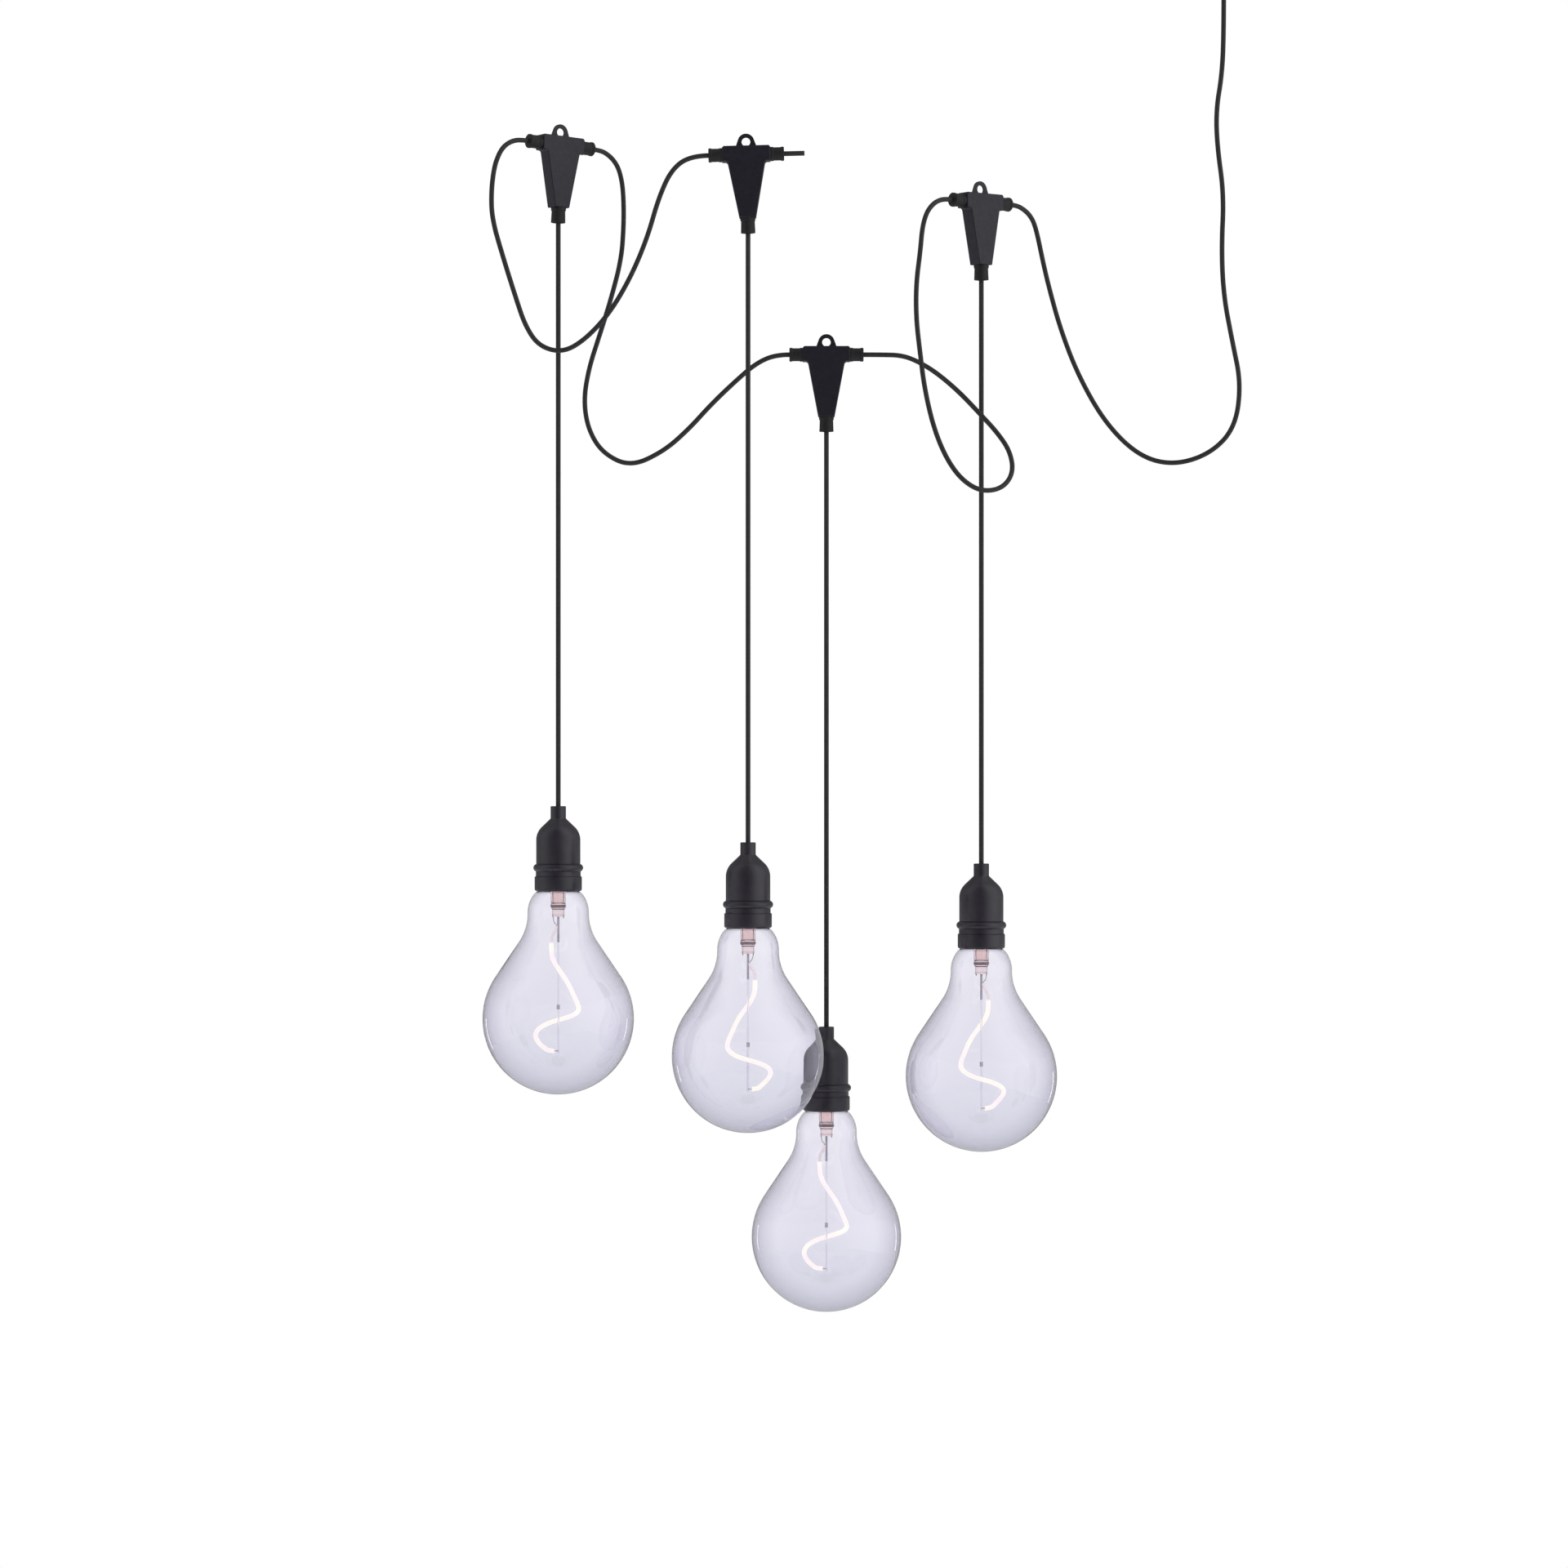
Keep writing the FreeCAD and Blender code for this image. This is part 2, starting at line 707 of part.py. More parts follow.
def splice(number):
    """Inside a tee: the splice block, three cable tails and the two cores of each tail."""
    place = tee_place(number)
    back_wall = half_depth - dim.tee_wall
    block_top = -dim.block_depth_below_arm
    items = [box("block", dim.block_width, dim.block_thickness, dim.block_height,
                 place * at(-(dim.block_width / 2), back_wall - dim.block_thickness,
                            block_top - dim.block_height))]
    half_spread = dim.core_spread / 2
    core_radius = dim.core_diameter / 2
    core_reach = -(block_top) - core_radius
    for way in (-1, 1):
        start = at(dim.tail_inner_end if way > 0 else -gland_reach, 0, 0)
        tail = gland_reach - dim.tail_inner_end
        items.append(cylinder("tail", cord_radius, tail, place * facing_x(start)))
        for fold in (-1, 1):
            over = at(dim.block_width / 2 - core_radius if way > 0 else -dim.tail_inner_end,
                      half_spread * fold, 0)
            run = dim.tail_inner_end - dim.block_width / 2 + core_radius
            level = cylinder("core", core_radius, run, place * facing_x(over))
            down = at((dim.block_width / 2 - core_radius) * way, half_spread * fold, block_top)
            upright = cylinder("core", core_radius, core_reach, place * down)
            items.append(level)
            items.append(upright)
    tail_top = -(flank_bottom - dim.cavity_floor - dim.overrun - dim.gland_flange_length * 2)
    tail_low = dim.moving_gap + cord_radius - pivot_level
    items.append(cylinder("tail", cord_radius, tail_top - tail_low, place * at(0, 0, tail_low)))
    block_low = block_top - dim.block_height
    for fold in (-1, 1):
        down = at(half_spread * fold, 0, tail_top)
        items.append(cylinder("core", core_radius, block_low - tail_top, place * down))
    return items


def gland_face(number, side):
    """Where a free cable leaves a tee, and the way it points there."""
    place = tee_place(number)
    face = place.multVec(Vector(gland_reach.number * side, 0, 0))
    way = place.Rotation.multVec(Vector(side, 0, 0))
    return face, way


def grip_face():
    """Where the supply cable leaves the ceiling cup, and the way it points there."""
    return Vector(0, 0, -(dim.cup_height + dim.grip_length).number), Vector(0, 0, -1)


def free_cord(name, route):
    """Free cable along its hand-chosen points, square to the faces that it leaves."""
    from_tee, from_side, from_lead, points, to_tee, to_side, to_lead = route
    start, out_way = gland_face(from_tee, from_side) if from_tee else grip_face()
    end, in_way = gland_face(to_tee, to_side)
    whole = [start, start + out_way * from_lead]
    whole += [Vector(*point) for point in points]
    whole += [end + in_way * to_lead, end]
    return shaped(name, tube(name, whole, SIZES["cord_diameter"]))


def drop_cord(number):
    """Straight drop cable: a round top in the gland's mouth, down to the insert of the holder."""
    length = as_size(0) + getattr(dim, "drop_%d_length" % number) + holder_height - insert_seat
    rod = cylinder("rod", cord_radius, length, at(0, 0, insert_seat))
    ball = doc.addObject("Part::Sphere", "round_top")
    ball.setExpression("Radius", cord_radius.formula)
    ball.Placement = at(0, 0, insert_seat + length)
    whole = doc.addObject("Part::Fuse", "drop_cord_%d" % number)
    whole.Base = rod
    whole.Tool = ball
    whole.Placement = pendant_place(number)
    return whole


def holder_dome(number):
    """Upper part of a lampholder: nozzle, cone, shoulder and barrel, with a spigot below."""
    wide = dim.barrel_radius - dim.cone_radius
    shoulder = (wide * wide + dim.shoulder_height * dim.shoulder_height) / (wide * 2)
    roof = nozzle_foot - dim.nozzle_floor
    spigot_end = skirt_seam - dim.spigot_length
    corners = [
        (cord_bore, holder_height), (cord_bore, roof), (dim.ceiling_radius, roof),
        (dim.barrel_bore_radius, roof - dim.inner_cone_height), (dim.barrel_bore_radius, insert_seat),
        (dim.spigot_bore_radius, insert_seat), (dim.spigot_bore_radius, spigot_end),
        (dim.spigot_radius, spigot_end), (dim.spigot_radius, skirt_seam),
        (dim.barrel_radius, skirt_seam), (dim.barrel_radius, barrel_top, shoulder),
        (dim.cone_radius, cone_foot), (dim.nozzle_radius, nozzle_foot),
        (dim.nozzle_radius, holder_height - dim.nozzle_edge),
        (dim.nozzle_radius - dim.nozzle_edge, holder_height)]
    return turned("holder_dome_%d" % number, corners, place=pendant_place(number))


def holder_skirt(number):
    """Lower ring of a lampholder: bead, groove and skirt, bored to take the seal."""
    bore = dim.spigot_radius + dim.slip_fit
    top = skirt_seam - dim.seam_gap / 2
    bead_top = skirt_seam - dim.seam_gap
    bead_foot = dim.skirt_height + dim.groove_height
    bead = bulge(dim.bead_height, dim.bead_radius - dim.groove_radius)
    ring = dim.skirt_round
    mouth = dim.mouth_bore_radius
    corners = [
        (mouth, 0), (dim.skirt_radius - ring, 0, ring), (dim.skirt_radius, ring),
        (dim.skirt_radius, dim.skirt_height - dim.skirt_edge),
        (dim.groove_radius, dim.skirt_height + dim.skirt_edge), (dim.groove_radius, bead_foot, bead),
        (dim.groove_radius, bead_top), (dim.groove_radius, top), (bore, top),
        (bore, dim.seal_ledge_height), (mouth, dim.seal_ledge_height)]
    return turned("holder_skirt_%d" % number, corners, place=pendant_place(number))


def holder_insert(number):
    """Insulating cup inside the holder: a floor under the ledge and a tube round the screw shell."""
    floor = dim.insert_floor_level
    tube_radius = dim.insert_tube_radius
    bore = tube_radius - dim.insert_tube_wall
    foot = dim.seal_ledge_height - dim.moving_gap + dim.insert_foot_gap
    plate = dim.spigot_bore_radius - dim.slip_fit
    corners = [
        (0, floor), (bore, floor), (bore, foot), (tube_radius, foot), (tube_radius, floor),
        (plate, floor), (plate, insert_seat), (0, insert_seat)]
    return turned("holder_insert_%d" % number, corners, place=pendant_place(number))


def rolled(radius, level, step, count):
    """Corners of one face of a rolled thread shell: half-pitch arcs that bulge out and in by turns."""
    bend = bulge(dim.thread_pitch / 2, dim.thread_depth / 2)
    return [(radius, level + step * index, bend if index % 2 == 0 else -bend)
            for index in range(count * 2)]


def rolled_wall(inner, wall, low, count):
    """Both faces of a rolled thread shell, the inner one upward and the outer one downward."""
    half_pitch = dim.thread_pitch / 2
    high = low + dim.thread_pitch * count
    return rolled(inner, low, half_pitch, count), rolled(inner + wall, high, -half_pitch, count), high


def holder_contacts(number):
    """Rolled screw shell hanging from the insert's floor, and the centre contact."""
    place = pendant_place(number)
    floor = dim.insert_floor_level
    wall = dim.screw_shell_wall
    inner = dim.screw_shell_radius - wall / 2
    low = floor - dim.screw_shell_foot - dim.thread_pitch * SHELL_THREADS
    outer = inner + wall
    up, down, high = rolled_wall(inner, wall, low, SHELL_THREADS)
    corners = up + [(inner, high), (inner, floor), (outer, floor)] + down + [(outer, low)]
    shell = turned("screw_shell", corners, place=place)
    cap_top = cap_levels()[-1]
    low_face = cap_top + dim.moving_gap
    stud = turned("centre_contact", [
        (0, low_face), (dim.contact_radius - dim.nozzle_edge, low_face),
        (dim.contact_radius, low_face + dim.nozzle_edge), (dim.contact_radius, floor), (0, floor)],
        place=place)
    return group("holder_contacts_%d" % number, [shell, stud])


def seal(number):
    """Rubber ring under the ledge of the skirt, round the lamp cap."""
    top = dim.seal_ledge_height - dim.moving_gap
    outer = dim.mouth_bore_radius - dim.moving_gap
    low = top - dim.seal_height
    edge = dim.gland_edge
    corners = [
        (dim.seal_inner_radius, low + edge), (dim.seal_inner_radius + edge, low),
        (outer - edge, low), (outer, low + edge), (outer, top), (dim.seal_inner_radius, top)]
    return turned("seal_%d" % number, corners, place=pendant_place(number))


def crown_centre():
    """Middle of the small arc that closes the bulb's shoulder under the cap."""
    gap = dim.shoulder_radius - dim.crown_radius
    across = dim.neck_radius - dim.shoulder_radius + gap * cosine(dim.shoulder_angle)
    up = gap * sine(dim.shoulder_angle) - dim.shoulder_depth
    return across, up


def glass_top():
    return crown_centre()[1] + dim.crown_radius


def globe_depth():
    """Depth of the globe's middle, under the neck, its bend and the straight flank."""
    angle = dim.flank_angle
    bend = dim.neck_bend_radius
    foot = dim.neck_radius + bend - bend * cosine(angle)
    flank = (dim.globe_radius * cosine(angle) - foot) * cosine(angle) / sine(angle)
    return (dim.shoulder_depth + dim.neck_length + bend * sine(angle) + flank
            + dim.globe_radius * sine(angle))


def cap_levels():
    """Levels of the lamp cap: foot, rim, thread foot, thread top, cone top, insulator and contact."""
    foot = glass_top()
    rim = foot + dim.cap_rim_height
    thread_foot = rim + dim.cap_plain_height
    thread_top = thread_foot + dim.thread_pitch * CAP_THREADS
    cone_top = thread_top + dim.cap_cone_height
    insulator_top = cone_top + dim.insulator_height
    contact_top = insulator_top + dim.cap_contact_height
    return foot, rim, thread_foot, thread_top, cone_top, insulator_top, contact_top


def bulb_place(number):
    return pendant_place(number) * spun(BULB_TURN[number])


def bulb_cap(number):
    """Lamp cap: threaded shell on the glass, insulating ring and centre contact."""
    place = bulb_place(number)
    foot, rim, thread_foot, thread_top, cone_top, insulator_top, contact_top = cap_levels()
    wall = dim.cap_wall
    outer = dim.cap_radius - dim.thread_depth / 2
    inner = outer - wall
    up, down, high = rolled_wall(inner, wall, thread_foot, CAP_THREADS)
    mouth = dim.insulator_radius
    corners = ([(inner, foot)] + up + [(inner, high), (mouth - wall, cone_top), (mouth, cone_top)]
               + down + [(outer, thread_foot), (outer, rim + wall), (dim.cap_rim_radius, rim),
                         (dim.cap_rim_radius, foot)])
    shell = turned("cap_shell", corners, place=place)
    contact = dim.cap_contact_radius
    ring = turned("cap_insulator", [
        (0, cone_top), (mouth - wall / 2, cone_top), (contact + wall, insulator_top),
        (0, insulator_top)], place=place)
    button = turned("cap_contact", [
        (0, insulator_top), (contact, insulator_top), (contact - wall, contact_top),
        (0, contact_top)], place=place)
    return group("bulb_cap_%d" % number, [shell, ring, button])


def glass_face(inset):
    """Corners down one face of the bulb from its crown to the bottom, at an inset into the wall."""
    across, up = crown_centre()
    crown = dim.crown_radius - inset
    shoulder = dim.shoulder_radius - inset
    neck = dim.neck_radius - inset
    bend = dim.neck_bend_radius + inset
    globe = dim.globe_radius - inset
    angle = dim.flank_angle
    shoulder_across = dim.neck_radius - dim.shoulder_radius
    joint = (shoulder_across + shoulder * cosine(dim.shoulder_angle),
             shoulder * sine(dim.shoulder_angle) - dim.shoulder_depth)
    leave = (globe * cosine(angle), globe * sine(angle) - globe_depth())
    bend_across = neck + bend - bend * cosine(angle)
    bend_up = leave[1] + (leave[0] - bend_across) * cosine(angle) / sine(angle)
    return [(across, up + crown, -crown), joint + (-shoulder,), (neck, -dim.shoulder_depth),
            (neck, bend_up + bend * sine(angle), bend), (bend_across, bend_up), leave + (-globe,)]


def bulb_glass(number):
    """Blown glass: stub in the cap, shoulder, neck, straight flank and globe, one even wall."""
    wall = dim.glass_wall
    outside = glass_face(as_size(0))
    inside = glass_face(wall)
    top = glass_top()
    stub_top = top + dim.stub_height
    back = []
    previous = (0, wall - globe_depth() - dim.globe_radius)
    for corner in reversed(inside):
        back.append(previous + ((-corner[2],) if len(corner) == 3 else ()))
        previous = corner[:2]
    back.append(previous)
    corners = ([(dim.stub_radius - wall, stub_top), (dim.stub_radius, stub_top),
                (dim.stub_radius, top)] + outside
               + [(0, -(globe_depth() + dim.globe_radius))] + back
               + [(dim.stub_radius - wall, top - wall)])
    return turned("bulb_glass_%d" % number, corners, place=bulb_place(number))


def bulb_mount(number):
    """Glass stem with two beads, the thin rod that carries the filament, and its two leads."""
    bead = dim.stem_bead_radius
    step = dim.stem_bead_height / 2
    first = -dim.stem_upper_length
    second = first - dim.stem_lower_length - dim.stem_bead_height
    tip = second - dim.stem_bead_height
    rod_end = -(dim.filament_top + dim.filament_height + dim.filament_diameter)
    waist = dim.stem_waist_radius
    small_bead = waist + bead - dim.stem_radius
    corners = [
        (0, dim.stem_top_level), (0, rod_end), (dim.rod_radius, rod_end),
        (dim.rod_radius, tip - dim.stem_tip_height), (waist, tip), (small_bead, second - step),
        (small_bead, second), (waist, second + step), (dim.stem_radius, first - step * 3),
        (bead, first - step * 2), (bead, first - step), (dim.stem_radius, first),
        (dim.stem_top_radius, 0), (dim.stem_top_radius, dim.stem_top_level)]
    place = bulb_place(number)
    stem = turned("stem", corners, place=place)
    across = dim.filament_spread * FILAMENT_SHARES[0][0]
    low = -dim.filament_top
    lead = cylinder("lead", dim.lead_radius, tip - dim.stem_tip_height * (
        (-across - waist) / (dim.rod_radius - waist)) - low, place * at(across, 0, low))
    foot = at(-(dim.rod_radius + dim.foot_lead_length), 0, -(dim.filament_top + dim.filament_height))
    foot_lead = cylinder("foot_lead", dim.lead_radius, dim.foot_lead_length, place * facing_x(foot))
    return group("bulb_mount_%d" % number, [stem, lead, foot_lead])


def filament_points():
    """Route of the filament in the bulb's frame, ending square to its foot lead."""
    spread = SIZES["filament_spread"]
    points = [Vector(across * spread, back * spread,
                     -SIZES["filament_top"] - down * SIZES["filament_height"])
              for across, back, down in FILAMENT_SHARES]
    reach = SIZES["rod_radius"] + SIZES["foot_lead_length"]
    points.append(Vector(-reach, 0, points[-1].z))
    return points


def filament(number):
    """Flexible lit filament: an open spiral that widens downward and ends at the rod."""
    solid = tube("filament", filament_points(), SIZES["filament_diameter"], number == 1)
    item = shaped("filament_%d" % number, solid)
    item.Placement = bulb_place(number)
    return item


def ceiling_cup():
    """Spun cup against the ceiling, with holes for the cable grip and two side screws."""
    radius = dim.cup_radius
    wall = dim.cup_wall
    bend = dim.cup_round
    low = -dim.cup_height
    hole = dim.grip_thread_radius + dim.slip_fit
    bowl = turned("bowl", [
        (radius - wall, 0), (radius - wall, low + bend, -(bend - wall)),
        (radius - bend, low + wall), (hole, low + wall), (hole, low), (radius - bend, low, bend),
        (radius, low + bend), (radius, 0)])
    width = (radius + dim.overrun) * 2
    drill = cylinder("drill", dim.side_screw_radius + dim.slip_fit, width,
                     facing_x(at(-(radius + dim.overrun), 0, -dim.side_screw_level)))
    return cut_away("ceiling_cup", bowl, drill)


def ceiling_bracket():
    """Bent strip screwed to the ceiling; its two tabs take the cup's side screws."""
    half = dim.bracket_half
    thick = dim.bracket_thickness
    low = -dim.bracket_tab_height
    body = doc.addObject("PartDesign::Body", "bracket_strip")
    pad = extruded(body, [
        (-half, 0), (-half, low), (thick - half, low), (thick - half, -thick), (half - thick, -thick),
        (half - thick, low), (half, low), (half, 0)], dim.bracket_width)
    pad.Midplane = True
    drills = []
    for way in (-1, 1):
        spot = at(dim.ceiling_hole_half_spacing * way, 0, -(thick + dim.overrun))
        drills.append(cylinder("drill", dim.ceiling_hole_radius, thick + dim.overrun * 2, spot))
    drills.append(cylinder("drill", dim.side_screw_radius + dim.slip_fit,
                           (half + dim.overrun) * 2,
                           facing_x(at(-(half + dim.overrun), 0, -dim.side_screw_level))))
    return cut_away("ceiling_bracket", body, group("drills", drills))


def side_screw(turn):
    """Pan-head screw through the cup's wall into a tab."""
    seat = dim.cup_radius + dim.side_screw_slack
    head = dim.side_screw_head_radius
    end = seat + dim.side_screw_head_height
    edge = dim.gland_edge
    corners = [
        (seat - dim.side_screw_length, 0), (end, 0), (end, head - edge), (end - edge, head),
        (seat, head), (seat, dim.side_screw_radius),
        (seat - dim.side_screw_length, dim.side_screw_radius)]
    level = at(0, 0, -dim.side_screw_level)
    return turned("side_screw", corners, "H_Axis", spun(turn) * level)


def ceiling_cord_grip():
    """Cable grip through the cup's floor, and its lock nut inside."""
    low = -dim.cup_height
    floor = low + dim.cup_wall
    collar = low - dim.grip_collar_height
    tip = low - dim.grip_length
    thread = dim.grip_thread_radius
    grip = turned("grip", [
        (cord_bore, floor + dim.grip_thread_length), (cord_bore, tip), (dim.grip_tip_radius, tip),
        (dim.grip_collar_radius, collar), (dim.grip_collar_radius, low), (thread, low),
        (thread, floor + dim.grip_thread_length)])
    nut = turned("lock_nut", [
        (thread + dim.slip_fit, floor), (dim.grip_nut_radius, floor),
        (dim.grip_nut_radius, floor + dim.grip_nut_height),
        (thread + dim.slip_fit, floor + dim.grip_nut_height)])
    return group("ceiling_cord_grip", [grip, nut])


def ceiling_terminal():
    """Terminal block under the bracket, with the supply cable's tail and its two cores."""
    top = -dim.bracket_thickness
    block_low = top - dim.terminal_height
    block = box("terminal", dim.terminal_length, dim.terminal_width, dim.terminal_height,
                at(-(dim.terminal_length / 2), -(dim.terminal_width / 2), block_low))
    tail_low = -(dim.cup_height + dim.grip_length)
    tail_top = block_low - dim.terminal_lead
    tail = cylinder("tail", cord_radius, tail_top - tail_low, at(0, 0, tail_low))
    cores = [cylinder("core", dim.core_diameter / 2, dim.terminal_lead,
                      at(dim.core_spread * way / 2, 0, tail_top)) for way in (-1, 1)]
    return [block, tail] + cores


# Build every node.
for number in PENDANTS:
    for side in ("front", "back"):
        keep(tee_shell(number, side), "tee_%d_%s_shell" % (number, side))
keep(group("side_glands", [side_gland(n, side) for n in PENDANTS for side in (-1, 1)]),
     "tee_side_glands")
keep(group("drop_glands", [drop_gland(n) for n in PENDANTS]), "tee_drop_glands")
splices = ceiling_terminal()
for number in PENDANTS:
    splices += splice(number)
keep(group("splices", splices), "cable_splices")
for name, route in ROUTES.items():
    keep(free_cord(name, route), name)
tail_face, tail_way = gland_face(2, 1)
tail_turn = Rotation(Vector(0, 0, 1), tail_way)
keep(cylinder("tail_cord", cord_radius, dim.tail_length, Placement(tail_face, tail_turn)),
     "tail_cord")
keep(ceiling_cup(), "ceiling_cup")
keep(ceiling_bracket(), "ceiling_bracket")
keep(ceiling_cord_grip(), "ceiling_cord_grip")
keep(group("side_screws", [side_screw(0), side_screw(180)]), "ceiling_screws")
for number in PENDANTS:
    keep(drop_cord(number), "drop_cord_%d" % number)
    keep(holder_dome(number), "holder_dome_%d" % number)
    keep(holder_skirt(number), "holder_skirt_%d" % number)
    keep(holder_insert(number), "holder_insert_%d" % number)
    keep(holder_contacts(number), "holder_contacts_%d" % number)
    keep(seal(number), "seal_%d" % number)
    keep(bulb_cap(number), "bulb_cap_%d" % number)
    keep(bulb_glass(number), "bulb_glass_%d" % number)
    keep(bulb_mount(number), "bulb_mount_%d" % number)
    keep(filament(number), "filament_%d" % number)

doc.recompute()

# Nothing is written unless every object is sound.
for item in doc.Objects:
    if "Invalid" in item.State or "Error" in item.State:
        raise RuntimeError("%s failed: %s" % (item.Label, item.State))
for item in nodes:
    if item.Shape.isNull() or not item.Shape.isValid() or not item.Shape.Solids:
        raise RuntimeError("%s has no sound solid" % item.Label)

for number in PENDANTS:
    print("pivot %d" % number, [round(v, 4) for v in pivot_point(number)])
    print("rim %d" % number, [round(v, 4) for v in pendant_place(number).Base])
    eye = tee_place(number).multVec(Vector(0, dim.eye_thickness.number / 2, dim.eye_height.number))
    front = tee_place(number).Rotation.multVec(Vector(0, -1, 0))
    print("eye %d" % number, [round(v, 4) for v in eye], "axis", [round(v, 6) for v in front])

os.makedirs("parts", exist_ok=True)
for item in nodes:
    item.Shape.exportStep("parts/%s.step" % item.Label)
print(len(nodes), "nodes written")
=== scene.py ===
"""Looks of a string pendant light: four giant clear bulbs that hang from one black cable.

Metres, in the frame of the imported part: +Z up, the viewer on the -Y side, and the origin in the
middle of the ceiling cup's upper face. Outlines of turned pieces are in millimetres.
"""

import json
import math
from types import SimpleNamespace

import bpy
import numpy as np
from mathutils import Matrix, Vector


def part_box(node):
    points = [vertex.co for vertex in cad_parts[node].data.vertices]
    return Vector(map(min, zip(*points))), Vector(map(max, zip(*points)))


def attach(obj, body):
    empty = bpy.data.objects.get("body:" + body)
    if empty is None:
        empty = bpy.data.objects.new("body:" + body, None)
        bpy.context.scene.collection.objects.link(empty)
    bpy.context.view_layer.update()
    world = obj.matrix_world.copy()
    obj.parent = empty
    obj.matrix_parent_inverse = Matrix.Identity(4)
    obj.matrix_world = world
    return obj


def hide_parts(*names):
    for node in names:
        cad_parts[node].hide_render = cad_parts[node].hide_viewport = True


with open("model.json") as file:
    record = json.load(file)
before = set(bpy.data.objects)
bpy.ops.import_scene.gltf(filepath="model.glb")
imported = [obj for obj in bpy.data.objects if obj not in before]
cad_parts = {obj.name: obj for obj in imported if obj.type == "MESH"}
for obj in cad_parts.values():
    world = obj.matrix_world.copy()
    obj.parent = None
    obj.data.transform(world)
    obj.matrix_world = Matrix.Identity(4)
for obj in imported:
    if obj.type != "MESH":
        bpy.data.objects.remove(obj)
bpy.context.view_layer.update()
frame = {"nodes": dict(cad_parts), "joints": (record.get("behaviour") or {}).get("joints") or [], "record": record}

MM = 0.001
TURN = 2 * math.pi
SAME = 1e-6
PENDANTS = (1, 2, 3, 4)
STRING = "ceiling_string"
NODES = frame["nodes"]
MOUNTS = {mount["name"]: mount for mount in frame["record"]["mounts"]}
JOINTS = {joint["name"]: joint for joint in frame["joints"]}

# Sizes in millimetres, as on the part where it has the same form. A size named after a turned form
# is its radius, and a foot, top or seat is a height. Flank and shoulder_angle are in degrees.
CORD = SimpleNamespace(diameter=5.3)
TAIL = SimpleNamespace(rim=1.0, wall=1.1, recess=0.8, core=0.7, core_spread=1.1, core_foot=0.85,
                       core_end=0.25)
TEE = SimpleNamespace(eye_height=13.8, eye_thickness=2.2, gland_reach=41.0)
HOLDER = SimpleNamespace(
    skirt=25.8, skirt_height=16.0, groove=24.5, bead=27.2, bead_foot=21.6, bead_top=29.4,
    skirt_bore=22.5, skirt_top=29.6, seal_bore=23.0, seal_seat=7.3, seam=29.8, barrel=24.1,
    barrel_top=55.8, cone=17.5, cone_foot=70.6, nozzle=8.4, nozzle_foot=79.3, height=92.8,
    spigot=22.4, spigot_bore=20.4, spigot_foot=17.8, insert_seat=38.5, barrel_bore=18.8,
    cone_bore_foot=57.8, ceiling=8, ceiling_level=75.8, cord_bore=2.75, cord_bore_foot=60)
BULB = SimpleNamespace(
    wall=0.9, globe=82.5, globe_depth=139.3, flank=34.0, bend=55.0, neck=33.4,
    shoulder_depth=23.5, shoulder=33.0, shoulder_angle=35.0, crown=17.0, stub=11.8,
    stub_height=8.0)
FILAMENT = SimpleNamespace(diameter=5.0, top=57.0, height=117.5, spread=25.0, foot_lead=3.0)
MOUNT = SimpleNamespace(
    rod=1.1, rod_top=-28.3, rod_foot=-177.3, collar_bore=8.0, collar=8.5, collar_top=-14.8,
    collar_foot=-17.6, sleeve=1.25, sleeve_top=-28.4, sleeve_foot=-56.0, clip=1.8,
    clip_top=-124.0, clip_foot=-129.0, lead_diameter=1.0, tail_diameter=3.4)

# Roundings of the edges of turned pieces, in millimetres.
EDGE = SimpleNamespace(
    nozzle_rim=0.4, nozzle=0.9, nozzle_foot=1.2, seam=0.4, spigot=0.5, spigot_bore=0.3,
    seal_bore=0.2, skirt=2.4, skirt_top=0.9, groove=0.7, stub=0.3, rod_top=0.2, rod_foot=0.4,
    tube=0.2, tail=0.35, tail_rim=0.2, core=0.1)

# Stem of a bulb from its inside over the flare to its tip: across, up and rounding, in millimetres.
STEM_OUTLINE = [
    (0, -14, 0), (6.2, -14, 2), (6.8, 0, 2), (8.8, 4, 0.3), (10.6, 4, 0.4), (8.6, 0, 2),
    (7.9, -15.4, 0.4), (7.6, -19.0, 0.6), (6.8, -20.0, 0.6), (6.6, -25.6, 0.8),
    (7.1, -26.4, 0.3), (6.4, -27.6, 0.5), (0, -28.2)]

# Leads in and under the stem, and the start of the strip's bare end, in the bulb's millimetres.
SEALED_LEADS = {
    "sealed": [(-6.0, 0, 2), (-6.2, 0, -14), (-5.6, 0, -29.5)],
    "other": [(6.0, 0, 2), (6.2, 0, -14), (5.6, 0, -29.5)]}
UPPER_LEAD = [(-5.6, 0, -29), (-5.0, 0, -34), (-1.8, 0, -36.5), (-1.8, 0, -39)]
BARE_END = [(-1.8, 0, -38), (-2.6, 0, -43)]
BARE_BEND = SimpleNamespace(outward=0.6, level=-50)

# Points round a turned piece, and points along each arc and along the section and length of a line.
ROUND = SimpleNamespace(bulb=224, holder=128, stem=64, tail=40, tube=32, thin=24)
STEPS = SimpleNamespace(arc=8, corner=5, shoulder=14, bead=12, crown=18, bend=24, globe=72,
                        line_section=6, line_length=14)

# Where the camera stood: level with the middle of the picture, 4.9 m in front of the cup.
CAMERA = SimpleNamespace(across=-0.4803, back=-4.9, up=-0.9108, lens=103.0, near=0.1, far=60)

# Floor of a room 2.4 m high, under the middle of the string, in metres.
FLOOR = SimpleNamespace(half=3.2, across=-0.4, level=-2.4)

